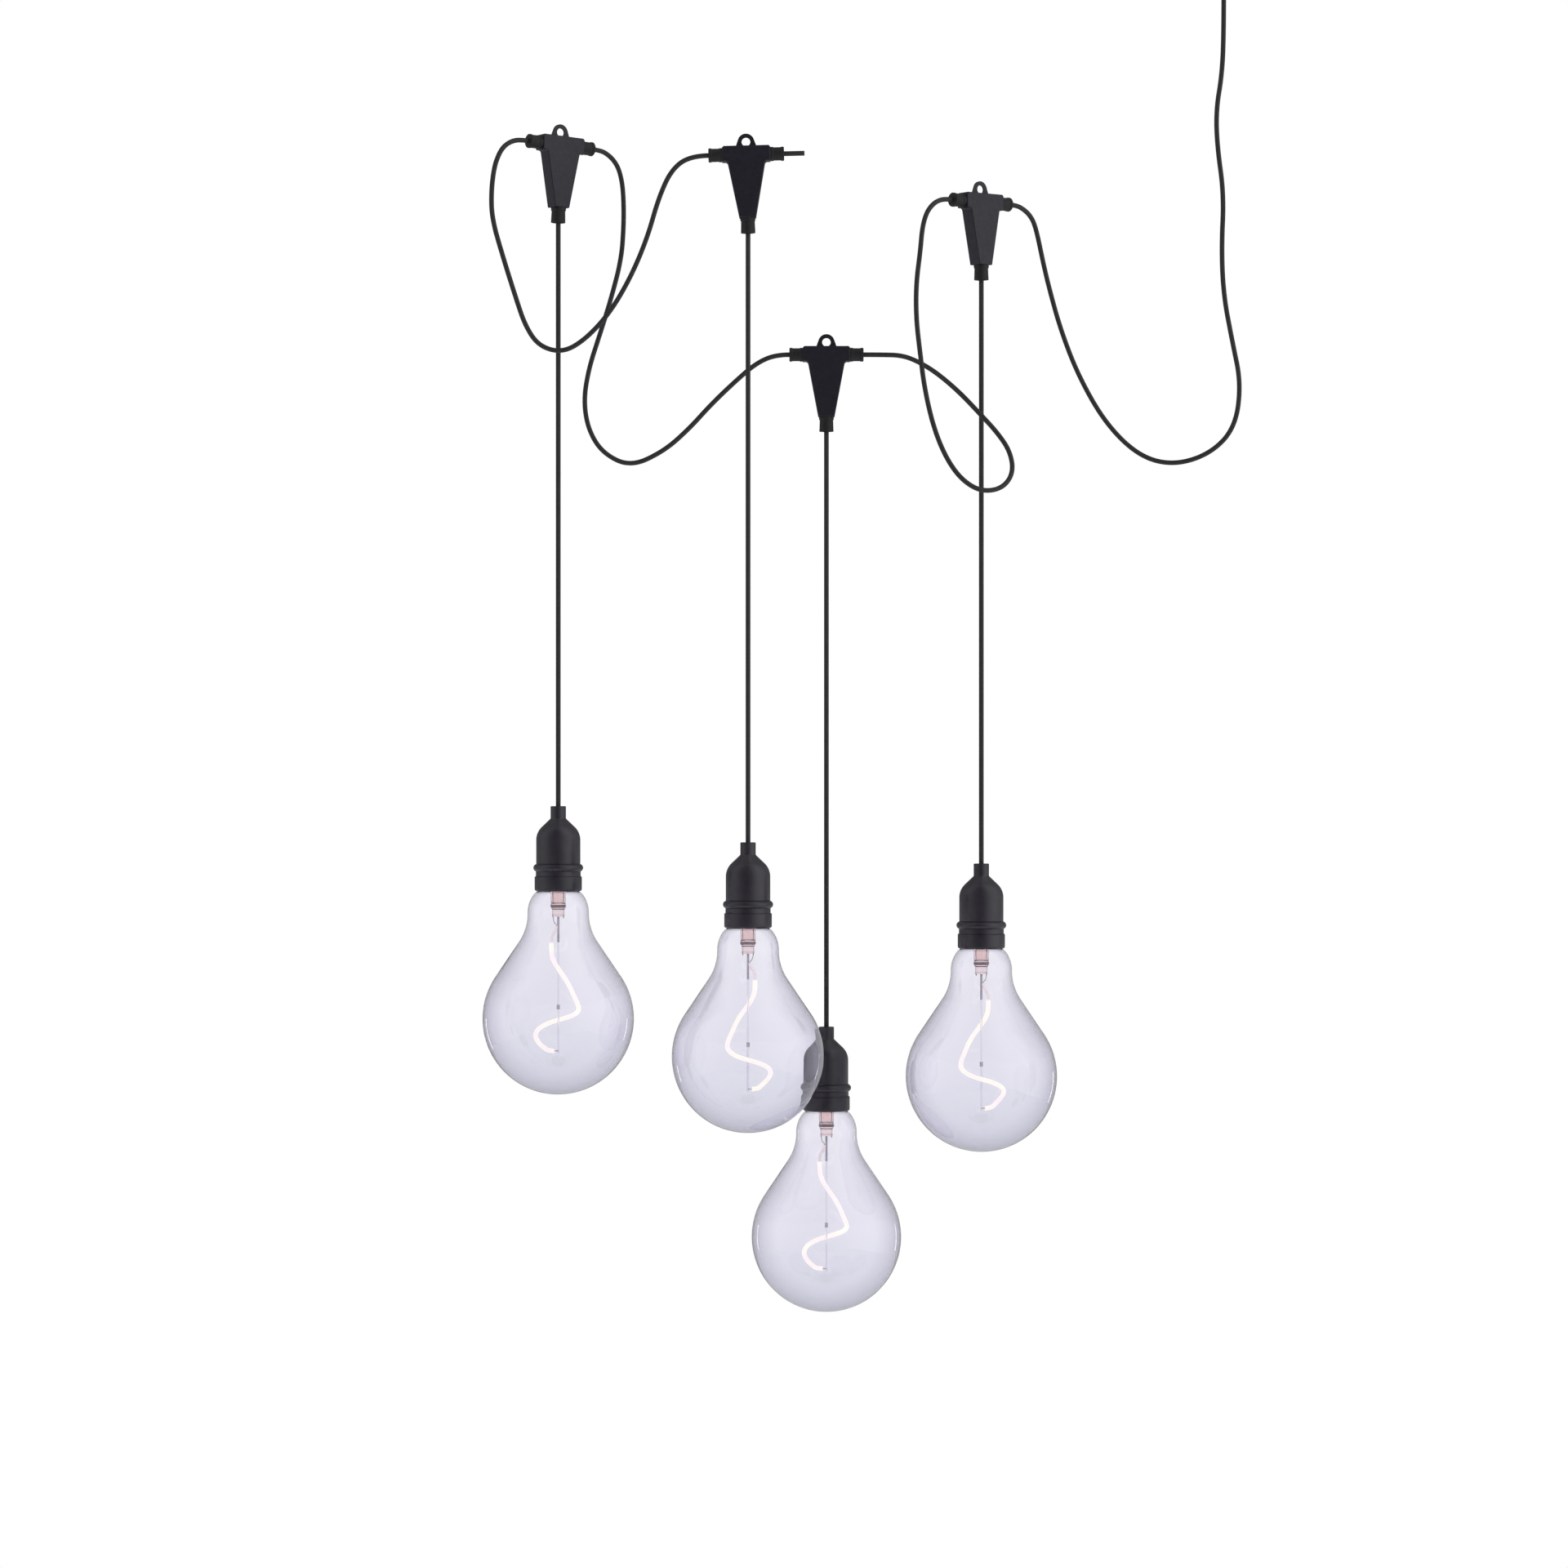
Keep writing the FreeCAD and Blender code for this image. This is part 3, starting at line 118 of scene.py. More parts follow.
# Lamps: name, place, width and height in metres, watts, and whether a mirror would show it.
LAMPS = [
    ("left_box", (-3.2, -1.6, 0.3), (2.0, 2.4), 9, False),
    ("right_box", (2.4, -1.4, 0.1), (2.0, 2.4), 14, False),
    ("left_strip", (-2.3, 1.84, -1.6), (0.10, 0.7), 0.8, True),
    ("right_strip", (1.36, 1.84, -1.6), (0.10, 0.7), 0.8, True)]

# What a mirror would see of the room: bearing in degrees from the viewer, and brightness.
WALLS = [(-180, 0.30), (-160, 0.18), (-130, 0.26), (-102, 0.50), (-84, 0.74), (-66, 0.62),
         (-50, 0.42), (-36, 0.26), (-20, 0.14), (0, 0.10), (14, 0.26), (28, 0.60), (42, 0.95),
         (68, 1.20), (88, 1.00), (106, 0.62), (130, 0.32), (160, 0.20), (180, 0.30)]

# Routes of the free cables between their ends, in metres, chosen along the photograph.
ROUTES = {
    "link_cord_1_2": [
        (-0.7755, -0.0345, -0.2135), (-0.783, -0.039, -0.219), (-0.7885, -0.043, -0.2275),
        (-0.794, -0.045, -0.243), (-0.7975, -0.040, -0.269), (-0.797, -0.035, -0.298),
        (-0.785, -0.034, -0.3395), (-0.772, -0.033, -0.381), (-0.761, -0.033, -0.414),
        (-0.746, -0.034, -0.436), (-0.721, -0.035, -0.443), (-0.697, -0.036, -0.430),
        (-0.6695, -0.038, -0.401), (-0.646, -0.039, -0.361), (-0.628, -0.040, -0.318),
        (-0.6165, -0.040, -0.277), (-0.6025, -0.040, -0.2455)],
    "link_cord_1_3": [
        (-0.511, 0.060, -0.4455), (-0.5345, 0.059, -0.466), (-0.5605, 0.057, -0.491),
        (-0.586, 0.054, -0.5195), (-0.6135, 0.050, -0.544), (-0.6495, 0.046, -0.561),
        (-0.680, 0.043, -0.5465), (-0.696, 0.041, -0.5205), (-0.701, 0.040, -0.488),
        (-0.695, 0.039, -0.4525), (-0.6835, 0.038, -0.4175), (-0.671, 0.038, -0.378),
        (-0.6595, 0.040, -0.3335), (-0.657, 0.043, -0.2975), (-0.657, 0.045, -0.270),
        (-0.6585, 0.046, -0.249), (-0.662, 0.0435, -0.234), (-0.667, 0.0395, -0.225),
        (-0.674, 0.0345, -0.2185)],
    "link_cord_3_4": [
        (-0.3145, -0.038, -0.279), (-0.3215, -0.0435, -0.2855), (-0.327, -0.048, -0.295),
        (-0.331, -0.0505, -0.311), (-0.333, -0.0505, -0.335), (-0.3375, -0.050, -0.370),
        (-0.3375, -0.052, -0.408), (-0.3335, -0.054, -0.4435), (-0.3285, -0.055, -0.484),
        (-0.319, -0.060, -0.526), (-0.306, -0.066, -0.559), (-0.2895, -0.070, -0.583),
        (-0.268, -0.068, -0.596), (-0.2445, -0.060, -0.592), (-0.232, -0.049, -0.574),
        (-0.2355, -0.040, -0.550), (-0.2495, -0.034, -0.529), (-0.2665, -0.029, -0.510),
        (-0.2895, -0.008, -0.483), (-0.313, 0.018, -0.460), (-0.333, 0.038, -0.4455),
        (-0.3505, 0.053, -0.4375)],
    "supply_cord": [
        (-0.0015, 0.002, -0.134), (-0.008, 0.004, -0.174), (-0.0065, 0.006, -0.214),
        (0.001, 0.008, -0.266), (-0.0015, 0.010, -0.325), (0.001, 0.012, -0.376),
        (0.011, 0.016, -0.426), (0.021, 0.020, -0.472), (0.015, 0.026, -0.520),
        (-0.012, 0.032, -0.548), (-0.0515, 0.037, -0.560), (-0.089, 0.041, -0.550),
        (-0.1255, 0.045, -0.514), (-0.155, 0.048, -0.462), (-0.175, 0.050, -0.410),
        (-0.1885, 0.050, -0.361), (-0.1955, 0.0505, -0.330), (-0.200, 0.050, -0.308),
        (-0.2045, 0.047, -0.292), (-0.210, 0.043, -0.2835), (-0.217, 0.038, -0.278)],
}

# Ends of each free cable: tee, side and straight lead in metres at each end; tee 0 is the cup.
CORD_ENDS = {
    "link_cord_1_2": ((1, -1, 0.0105), (2, -1, 0.020)),
    "link_cord_1_3": ((3, -1, 0.015), (1, 1, 0.0105)),
    "link_cord_3_4": ((4, -1, 0.0105), (3, 1, 0.021)),
    "supply_cord": ((0, 0, 0.046), (4, 1, 0.0105)),
}

# Filament route: shares of its spread across and back, and of its height downward.
FILAMENT_SHARES = [
    (-0.30, 0.0, 0.0), (-0.31, 0.0, 0.08), (-0.20, -0.20, 0.17), (0.12, -0.40, 0.265),
    (0.47, -0.52, 0.37), (0.72, -0.46, 0.49), (0.94, -0.12, 0.60), (0.80, 0.44, 0.655),
    (0.36, 0.88, 0.70), (-0.36, 0.84, 0.74), (-0.86, 0.44, 0.79), (-1.02, -0.04, 0.845),
    (-0.90, -0.38, 0.905), (-0.66, -0.38, 0.957), (-0.42, 0.0, 1.0)]

# Turn of each bulb in degrees: the half-turned ones show the other side of their filament.
BULB_TURN = {1: 0, 2: 180, 3: 0, 4: 180}


# Camera and frames.

def make_camera():
    """Camera with a long lens, where the photographer's stood."""
    data = bpy.data.cameras.new("camera")
    data.lens = CAMERA.lens
    data.clip_start = CAMERA.near
    data.clip_end = CAMERA.far
    camera = bpy.data.objects.new("camera", data)
    camera.location = (CAMERA.across, CAMERA.back, CAMERA.up)
    camera.rotation_euler = (math.pi / 2, 0, 0)
    bpy.context.scene.collection.objects.link(camera)
    bpy.context.scene.camera = camera


def tee_matrix(number):
    """Frame of a tee: X along its arm, Z to its eye, -Y to its front, origin on the arm's axis."""
    mount = MOUNTS["hanging_eye_%d" % number]
    front = Vector(mount["axis"]).normalized()
    eye = Vector(mount["pos_m"]) + front * (TEE.eye_thickness / 2 * MM)
    up = (eye - pivot(number)).normalized()
    across = up.cross(front)
    origin = eye - up * (TEE.eye_height * MM)
    turn = Matrix((across, -front, up)).transposed().to_4x4()
    return Matrix.Translation(origin) @ turn


def pivot(number):
    """Point in the mouth of a drop gland that its pendant swings about."""
    return Vector(JOINTS["pendant_swing_%d" % number]["pos_m"])


def rim_matrix(number):
    """Frame of a pendant: the origin in the middle of its holder's rim."""
    spot = pivot(number)
    spot.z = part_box("holder_skirt_%d" % number)[0].z
    return Matrix.Translation(spot)


def bulb_matrix(number):
    """Frame of a bulb: that of its pendant, turned about the bulb's axis."""
    return rim_matrix(number) @ Matrix.Rotation(math.radians(BULB_TURN[number]), 4, "Z")


def gland_face(number, side):
    """Middle of a gland's outer face, and the way its cable leaves it."""
    if number == 0:
        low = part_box("ceiling_cord_grip")[0].z
        return Vector((0, 0, low)), Vector((0, 0, -1))
    matrix = tee_matrix(number)
    face = matrix @ Vector((TEE.gland_reach * MM * side, 0, 0))
    return face, (matrix.to_3x3() @ Vector((side, 0, 0))).normalized()


# Surfaces.

def arc(across, up, radius, start, end, steps=STEPS.arc):
    """Points of an arc: the centre plus the radius times cosine and sine of an even angle."""
    angle = np.radians(np.linspace(start, end, steps))
    return np.column_stack([across + radius * np.cos(angle), up + radius * np.sin(angle)])


def softened(corners, steps=STEPS.corner):
    """Open outline whose corners (across, up, round) give way to arcs that touch both their sides.

    An arc of radius q at a corner whose sides turn by angle t starts q tan(t/2) before the corner
    and ends as far after it; its points come from turning the start round the arc's centre.
    """
    places = np.array([corner[:2] for corner in corners], float)
    rounds = [corner[2] if len(corner) == 3 else 0 for corner in corners]
    outline = [places[:1]]
    for before, corner, after, bend in zip(places, places[1:], places[2:], rounds[1:]):
        inward = (corner - before) / np.linalg.norm(corner - before)
        outward = (after - corner) / np.linalg.norm(after - corner)
        turn = math.atan2(inward[0] * outward[1] - inward[1] * outward[0], inward @ outward)
        if bend == 0 or abs(turn) < SAME:
            outline.append(corner[None])
            continue
        start = corner - inward * bend * math.tan(abs(turn) / 2)
        middle = start + np.array([-inward[1], inward[0]]) * bend * math.copysign(1, turn)
        angle = np.linspace(0, turn, steps)[:, None]
        arm = start - middle
        outline.append(middle + arm * np.cos(angle) + np.array([-arm[1], arm[0]]) * np.sin(angle))
    outline.append(places[-1:])
    return np.concatenate(outline)


def carried_round(outline, columns):
    """Surface of revolution: a point r from the axis and z up it goes to (r cos a, r sin a, z)."""
    angle = np.linspace(0, TURN, columns, endpoint=False)[None, :]
    radius = outline[:, :1] * np.ones_like(angle)
    level = outline[:, 1:] * np.ones_like(angle)
    return np.stack([radius * np.cos(angle), radius * np.sin(angle), level], axis=-1)


def signed_volume(points, faces):
    """Six times the volume inside: each face's fan gives the triple product of its corners."""
    corners = points[np.asarray(faces)]
    volume = 0.0
    for index in range(1, corners.shape[1] - 1):
        normal = np.cross(corners[:, index], corners[:, index + 1])
        volume += float(np.einsum("ij,ij->", corners[:, 0], normal))
    return volume


def surface_piece(name, grid, body, material, stands_for=(), matrix=None, ring=False, crisp=40):
    """Closed piece from a grid of points in millimetres that runs all the way round.

    Row i and column j make one point. Each face takes (i, j), (i, j+1), (i+1, j+1), (i+1, j). A row
    on the axis is one point, and ring joins the last row to the first. An edge that turns by more
    than crisp degrees stays sharp.
    """
    rows, columns = grid.shape[:2]
    index = np.arange(rows * columns).reshape(rows, columns)
    if not ring:
        for row in (0, rows - 1):
            if np.ptp(grid[row], axis=0).max() < SAME:
                index[row] = index[row, 0]
    upper = np.vstack([index, index[:1]]) if ring else index
    left, right = upper, np.roll(upper, -1, axis=1)
    quads = np.stack([left[:-1], right[:-1], right[1:], left[1:]], axis=-1).reshape(-1, 4)
    points = grid.reshape(-1, 3) * MM
    if signed_volume(points, quads) < 0:
        quads = quads[:, ::-1]
    used, compact = np.unique(quads, return_inverse=True)
    quads = compact.reshape(quads.shape)
    points = points[used]
    if matrix is not None:
        turn = np.array(matrix.to_3x3())
        points = points @ turn.T + np.array(matrix.translation)
    at_first = quads[:, 0] == quads[:, 1]
    at_last = quads[:, 2] == quads[:, 3]
    faces = quads[~(at_first | at_last)].tolist()
    faces += quads[at_first][:, [0, 2, 3]].tolist() + quads[at_last][:, :3].tolist()
    mesh = bpy.data.meshes.new(name)
    mesh.from_pydata(points.tolist(), [], faces)
    mesh.update()
    mesh.polygons.foreach_set("use_smooth", np.ones(len(mesh.polygons), bool))
    mesh.set_sharp_from_angle(angle=math.radians(crisp))
    return placed(name, mesh, body, material, stands_for)


def placed(name, data, body, material, stands_for=()):
    """Object for a finished mesh or curve, riding on a body and standing for CAD nodes."""
    piece = bpy.data.objects.new(name, data)
    data.materials.append(material)
    bpy.context.scene.collection.objects.link(piece)
    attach(piece, body)
    if stands_for:
        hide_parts(*stands_for)
    return piece


def round_line(name, points, diameter, body, material, stands_for=()):
    """Round section carried along a smooth spline whose control points are the given points."""
    curve = bpy.data.curves.new(name, "CURVE")
    curve.dimensions = "3D"
    curve.bevel_depth = diameter / 2
    curve.bevel_resolution = STEPS.line_section
    curve.resolution_u = STEPS.line_length
    curve.use_fill_caps = True
    spline = curve.splines.new("NURBS")
    spline.points.add(len(points) - 1)
    for control, point in zip(spline.points, points):
        control.co = (*point, 1)
    spline.order_u = 3
    spline.use_endpoint_u = True
    return placed(name, curve, body, material, stands_for)


# Materials.

def colour(code):
    """Linear colour of an sRGB hex code."""
    channels = [int(code[i:i + 2], 16) / 255 for i in (1, 3, 5)]
    linear = [c / 12.92 if c <= 0.04045 else ((c + 0.055) / 1.055) ** 2.4 for c in channels]
    return (*linear, 1)


def add(tree, kind, values=(), links=(), **settings):
    """Adds a node: settings are its attributes, values go to its sockets and links feed them."""
    node = tree.nodes.new(kind)
    for name, value in settings.items():
        setattr(node, name, value)
    for socket, value in dict(values).items():
        node.inputs[socket].default_value = value
    for socket, source in dict(links).items():
        tree.links.new(node.inputs[socket], source)
    return node


def finish(name, values):
    """New material with a Principled shader, and its object coordinates to hang patterns on."""
    material = bpy.data.materials.new(name)
    material.use_nodes = True
    tree = material.node_tree
    tree.nodes.clear()
    shader = add(tree, "ShaderNodeBsdfPrincipled", values)
    add(tree, "ShaderNodeOutputMaterial", links={"Surface": shader.outputs["BSDF"]})
    place = add(tree, "ShaderNodeTexCoord").outputs["Object"]
    return material, tree, shader, place


def per_mm(size):
    """Noise scale that gives features of a real size in millimetres."""
    return 1 / (size * MM)


def graded(tree, number, *stops):
    """Colour that runs through stops, each a share and a hex code, as a number goes from 0 to 1."""
    ramp = add(tree, "ShaderNodeValToRGB", links={"Fac": number})
    elements = ramp.color_ramp.elements
    for element, (share, code) in zip(elements, (stops[0], stops[-1])):
        element.position, element.color = share, colour(code)
    for share, code in stops[1:-1]:
        elements.new(share).color = colour(code)
    return ramp.outputs["Color"]


def two_tone(tree, place, size, low, high, detail=3.0):
    """Colour that wanders between two hex codes in patches of a size in millimetres."""
    noise = add(tree, "ShaderNodeTexNoise", {"Scale": per_mm(size), "Detail": detail},
                {"Vector": place})
    return graded(tree, noise.outputs["Fac"], (0.35, low), (0.65, high))


def uneven(tree, place, size, low, high):
    """Number that wanders between two values in patches of a size in millimetres."""
    noise = add(tree, "ShaderNodeTexNoise", {"Scale": per_mm(size), "Detail": 4.0},
                {"Vector": place})
    return add(tree, "ShaderNodeMapRange",
               {"From Min": 0.3, "From Max": 0.7, "To Min": low, "To Max": high},
               {"Value": noise.outputs["Fac"]}).outputs["Result"]


def grain(tree, place, size, depth, shader, stretch=None):
    """Relief of a size and depth in millimetres, fed to a shader's normal."""
    if stretch is not None:
        place = add(tree, "ShaderNodeMapping", {"Scale": stretch}, {"Vector": place}).outputs[0]
    noise = add(tree, "ShaderNodeTexNoise", {"Scale": per_mm(size), "Detail": 2.0},
                {"Vector": place})
    bump = add(tree, "ShaderNodeBump", {"Strength": 1.0, "Distance": depth * MM},
               {"Height": noise.outputs["Fac"]})
    tree.links.new(shader.inputs["Normal"], bump.outputs["Normal"])


def patchy(name, values, tones=None, rough=None, relief=None):
    """Finish with colour by two_tone, roughness by uneven and relief by grain, where given."""
    material, tree, shader, place = finish(name, values)
    if tones is not None:
        tree.links.new(shader.inputs["Base Color"], two_tone(tree, place, *tones))
    if rough is not None:
        tree.links.new(shader.inputs["Roughness"], uneven(tree, place, *rough))
    if relief is not None:
        size, depth, *stretch = relief
        grain(tree, place, size, depth, shader, *stretch)
    return material


def rim_shade_by_slant(tree, *stops):
    """Colour graded by how far the glass slants from the eye: 0 square on, 1 edge on; its darker stops paint shade
    on the rims of glass.
    """
    turned = add(tree, "ShaderNodeLayerWeight", {"Blend": 0.5})
    return graded(tree, turned.outputs["Facing"], *stops)


def moulded_nylon():
    """Glass-filled nylon, moulded against an eroded steel face: black, satin, finely grained.

    The eroded grain is about 0.1 mm and is drawn at 0.6 mm to show.
    """
    return patchy("moulded_nylon", {"IOR": 1.53}, tones=(9, "#09091a", "#0f0f20"),
                  rough=(4, 0.40, 0.52), relief=(0.6, 0.02))


def moulded_phenolic():
    """Phenolic resin, pressed in a polished mould: near black, softly glossy, faint flow marks."""
    return patchy("moulded_phenolic", {"IOR": 1.58}, tones=(12, "#1e1b25", "#27222d"),
                  rough=(7, 0.32, 0.40), relief=(7, 0.03))


def gland_rubber():
    """Soft thermoplastic rubber: matt black with a dry bloom."""
    return patchy("gland_rubber", {"IOR": 1.5, "Sheen Weight": 0.03, "Sheen Roughness": 0.5},
                  tones=(3, "#0d0d0f", "#131315"), rough=(2, 0.55, 0.7), relief=(0.5, 0.02))


def cable_sheath():
    """Extruded rubber sheath of round flex: black, slightly uneven along its length."""
    return patchy("cable_sheath", {"IOR": 1.5}, tones=(14, "#202022", "#252527"),
                  rough=(9, 0.50, 0.58), relief=(9, 0.03))


def blown_glass():
    """Soda-lime glass, blown in a mould: clear with a faint lilac metal film and slow waves.

    The wall thickens towards the bottom of the bulb, where the tint is a little deeper. Seen edge on,
    the glass darkens: partly the film taking more light, partly painted shade that draws its rim.
    """
    material, tree, shader, place = finish("blown_glass", {
        "Transmission Weight": 1.0, "Roughness": 0.0, "IOR": 1.5})
    depth = add(tree, "ShaderNodeAttribute", attribute_name="depth")
    tint = graded(tree, depth.outputs["Fac"], (0, "#f6f5fa"), (0.6, "#f2f1f8"), (1, "#e8e8f0"))
    # Darker where seen edge on: the film's tint, deepened by painted shade on the rim.
    film_and_rim_shade = rim_shade_by_slant(tree, (0.25, "#ffffff"), (0.55, "#ebeaee"), (0.90, "#c6c5ca"))
    both = add(tree, "ShaderNodeMix", {"Factor": 1.0}, {6: tint, 7: film_and_rim_shade}, data_type="RGBA",
               blend_type="MULTIPLY")
    tree.links.new(shader.inputs["Base Color"], both.outputs[2])
    grain(tree, place, 28, 0.045, shader)
    return material


def rod_glass():
    """Drawn glass rod: clear and colourless, with long shallow waves."""
    return patchy("rod_glass", {"Base Color": colour("#f4f3f8"), "Transmission Weight": 1.0,
                                "Roughness": 0.02, "IOR": 1.5}, relief=(2, 0.02, (1, 1, 0.1)))


def stem_glass():
    """Lead glass of the stem: pressed, clear with a copper-pink tint from its lead wires, and painted shade where
    it is seen edge on.
    """
    material, tree, shader, place = finish("stem_glass", {
        "Transmission Weight": 1.0, "Roughness": 0.03, "IOR": 1.56})
    # Deeper and darker where seen edge on: painted shade on the stem's rim.
    tree.links.new(shader.inputs["Base Color"],
                   rim_shade_by_slant(tree, (0.25, "#f7e6e4"), (0.85, "#b08890")))
    grain(tree, place, 3, 0.06, shader)
    return material


def copper_wire():
    """Drawn copper-clad wire: dull brown-red metal with fine scratches along it."""
    return patchy("copper_wire", {"Base Color": colour("#8a6f74"), "Metallic": 1.0},
                  rough=(0.5, 0.3, 0.45), relief=(0.4, 0.01))


def drawn_steel():
    """Drawn steel tube: grey metal with a lilac bloom of heat, softly streaked."""
    return patchy("drawn_steel", {"Metallic": 1.0}, tones=(3, "#cfc8d4", "#dfd9e2"),
                  rough=(1, 0.50, 0.62), relief=(0.5, 0.01, (1, 1, 0.2)))


def lit_filament():
    """Silicone-coated strip of small lamps, lit: warm white with softly brighter chips."""
    material, tree, shader, place = finish("lit_filament", {
        "Base Color": colour("#6b6358"), "Roughness": 0.5, "Emission Strength": 1.12})
    glow = two_tone(tree, place, 24, "#fff0f0", "#fffaea", 6.0)
    tree.links.new(shader.inputs["Emission Color"], glow)
    return material


def silicone_with_painted_glow():
    """Silicone coat of the strip past its last lamp: milky white with a soft skin, and a painted glow, for it
    holds no lamp.
    """
    # The emission is a painted glow: this end of the strip holds no lamp.
    return patchy("silicone_with_painted_glow", {
        "IOR": 1.42, "Emission Color": colour("#fff2f2"), "Emission Strength": 0.55},
        tones=(2, "#c9c3c9", "#d6d0d4"), rough=(1, 0.5, 0.6), relief=(0.8, 0.02))


def nickel_plate():
    """Nickel-plated brass, rolled: pale warm metal with rings of fine scratches."""
    return patchy("nickel_plate", {"Base Color": colour("#c9c2b6"), "Metallic": 1.0},
                  rough=(1, 0.22, 0.34), relief=(0.4, 0.01, (1, 1, 12)))


def rolled_brass():
    """Bare brass sheet, rolled and pressed: yellow metal, dulled in patches."""
    return patchy("rolled_brass", {"Metallic": 1.0}, tones=(4, "#c39a52", "#d8b46c"),
                  rough=(2, 0.25, 0.4), relief=(0.5, 0.01))


def zinc_plate():
    """Zinc-plated steel: pale blue-grey metal with cloudy patches."""
    return patchy("zinc_plate", {"Metallic": 1.0}, tones=(5, "#b6bac0", "#cfd2d6"),
                  rough=(2, 0.28, 0.42), relief=(0.6, 0.01))


def steatite():
    """Unglazed ceramic insulator: ivory, dry and faintly speckled."""
    return patchy("steatite", {"IOR": 1.6}, tones=(0.8, "#d9d2c4", "#e6e0d4"),
                  rough=(1, 0.5, 0.65), relief=(0.7, 0.02))


def powder_coat():
    """Powder-coated steel: black with a fine orange-peel skin."""
    return patchy("powder_coat", {"IOR": 1.5}, tones=(10, "#27272a", "#2e2e31"),
                  rough=(5, 0.36, 0.48), relief=(1.4, 0.03))


def floor_paint():
    """Matt paint on the studio floor: near white, rolled on in broad soft patches."""
    return patchy("painted_floor", {"Roughness": 0.9}, tones=(400, "#f6f6f5", "#fafaf9"))


# Pieces.

def make_cords(sheath):
    """Free cables along their routes, and the straight drop cables under the tees."""
    for name, route in ROUTES.items():
        (tee, side, lead), (far_tee, far_side, far_lead) = CORD_ENDS[name]
        start, out_way = gland_face(tee, side)
        end, in_way = gland_face(far_tee, far_side)
        points = [start, start + out_way * lead, *map(Vector, route), end + in_way * far_lead, end]
        piece = round_line(name + "_sheath", points, CORD.diameter * MM, STRING, sheath, (name,))
        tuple(start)
    for number in PENDANTS:
        node = "drop_cord_%d" % number
        top = pivot(number)
        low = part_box(node)[0].z
        points = [top, top.lerp(Vector((top.x, top.y, low)), 0.5), Vector((top.x, top.y, low))]
        piece = round_line(node + "_sheath", points, CORD.diameter * MM, "pendant_%d" % number,
                           sheath, (node,))


def make_tail(sheath, metal):
    """Cut end of cable beside tee 2: sheath with a blunt rim, and the ends of its two cores."""
    face, way = gland_face(2, 1)
    turn = way.to_track_quat("Z", "Y").to_matrix().to_4x4()
    matrix = Matrix.Translation(face) @ turn
    low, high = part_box("tail_cord")
    length = (high.x - low.x) / MM
    radius = CORD.diameter / 2
    floor = length - TAIL.recess
    outline = softened([
        (0, 0), (radius, 0), (radius, length, EDGE.tail),
        (radius - TAIL.rim, length, EDGE.tail_rim), (radius - TAIL.wall, floor), (0, floor)])
    stub = surface_piece("tail_sheath", carried_round(outline, ROUND.tail), STRING, sheath,
                         ("tail_cord",), matrix)
    foot, end = length - TAIL.core_foot, length - TAIL.core_end
    core = softened([(0, foot), (TAIL.core, foot), (TAIL.core, end, EDGE.core), (0, end)])
    for side, spread in (("left", -TAIL.core_spread), ("right", TAIL.core_spread)):
        place = matrix @ Matrix.Translation((spread * MM, 0, 0))
        surface_piece("tail_core_%s" % side, carried_round(core, ROUND.thin), STRING, metal,
                      matrix=place)


def holder_dome(number, resin):
    """Nozzle, cone, shoulder and barrel down to the seam, and the spigot inside the skirt."""
    shape = HOLDER
    wide = shape.barrel - shape.cone
    tall = shape.cone_foot - shape.barrel_top
    bend = (wide ** 2 + tall ** 2) / (2 * wide)
    lean = math.degrees(math.asin(tall / bend))
    top = softened([
        (shape.cord_bore, shape.cord_bore_foot), (shape.cord_bore, shape.height, EDGE.nozzle_rim),
        (shape.nozzle, shape.height, EDGE.nozzle),
        (shape.nozzle, shape.nozzle_foot, EDGE.nozzle_foot), (shape.cone, shape.cone_foot)])
    shoulder = arc(shape.barrel - bend, shape.barrel_top, bend, lean, 0, STEPS.shoulder)
    inside = softened([
        (shape.barrel, shape.barrel_top), (shape.barrel, shape.seam, EDGE.seam),
        (shape.spigot, shape.seam), (shape.spigot, shape.spigot_foot, EDGE.spigot),
        (shape.spigot_bore, shape.spigot_foot, EDGE.spigot_bore),
        (shape.spigot_bore, shape.insert_seat),
        (shape.barrel_bore, shape.insert_seat), (shape.barrel_bore, shape.cone_bore_foot),
        (shape.ceiling, shape.ceiling_level), (shape.cord_bore, shape.ceiling_level)])
    outline = np.concatenate([top[1:-1], shoulder, inside[1:]])
    piece = surface_piece("dome_%d" % number, carried_round(outline, ROUND.holder),
                          "pendant_%d" % number, resin, ("holder_dome_%d" % number,),
                          rim_matrix(number), ring=True)


def holder_skirt(number, resin):
    """Bead, groove and skirt, with the bore for the sealing ring."""
    shape = HOLDER
    chord = shape.bead_top - shape.bead_foot
    rise = shape.bead - shape.groove
    bend = (chord ** 2 / 4 + rise ** 2) / (2 * rise)
    lean = math.degrees(math.asin(chord / 2 / bend))
    middle = (shape.bead_top + shape.bead_foot) / 2
    low = softened([
        (shape.skirt_bore, shape.skirt_top), (shape.skirt_bore, shape.seal_seat),
        (shape.seal_bore, shape.seal_seat), (shape.seal_bore, 0, EDGE.seal_bore),
        (shape.skirt, 0, EDGE.skirt), (shape.skirt, shape.skirt_height, EDGE.skirt_top),
        (shape.groove, shape.skirt_height, EDGE.groove), (shape.groove, shape.bead_foot)])
    bead = arc(shape.bead - bend, middle, bend, -lean, lean, STEPS.bead)
    outline = np.concatenate([low[:-1], bead, [(shape.groove, shape.skirt_top)]])
    piece = surface_piece("skirt_%d" % number, carried_round(outline, ROUND.holder),
                          "pendant_%d" % number, resin, ("holder_skirt_%d" % number,),
                          rim_matrix(number), ring=True)


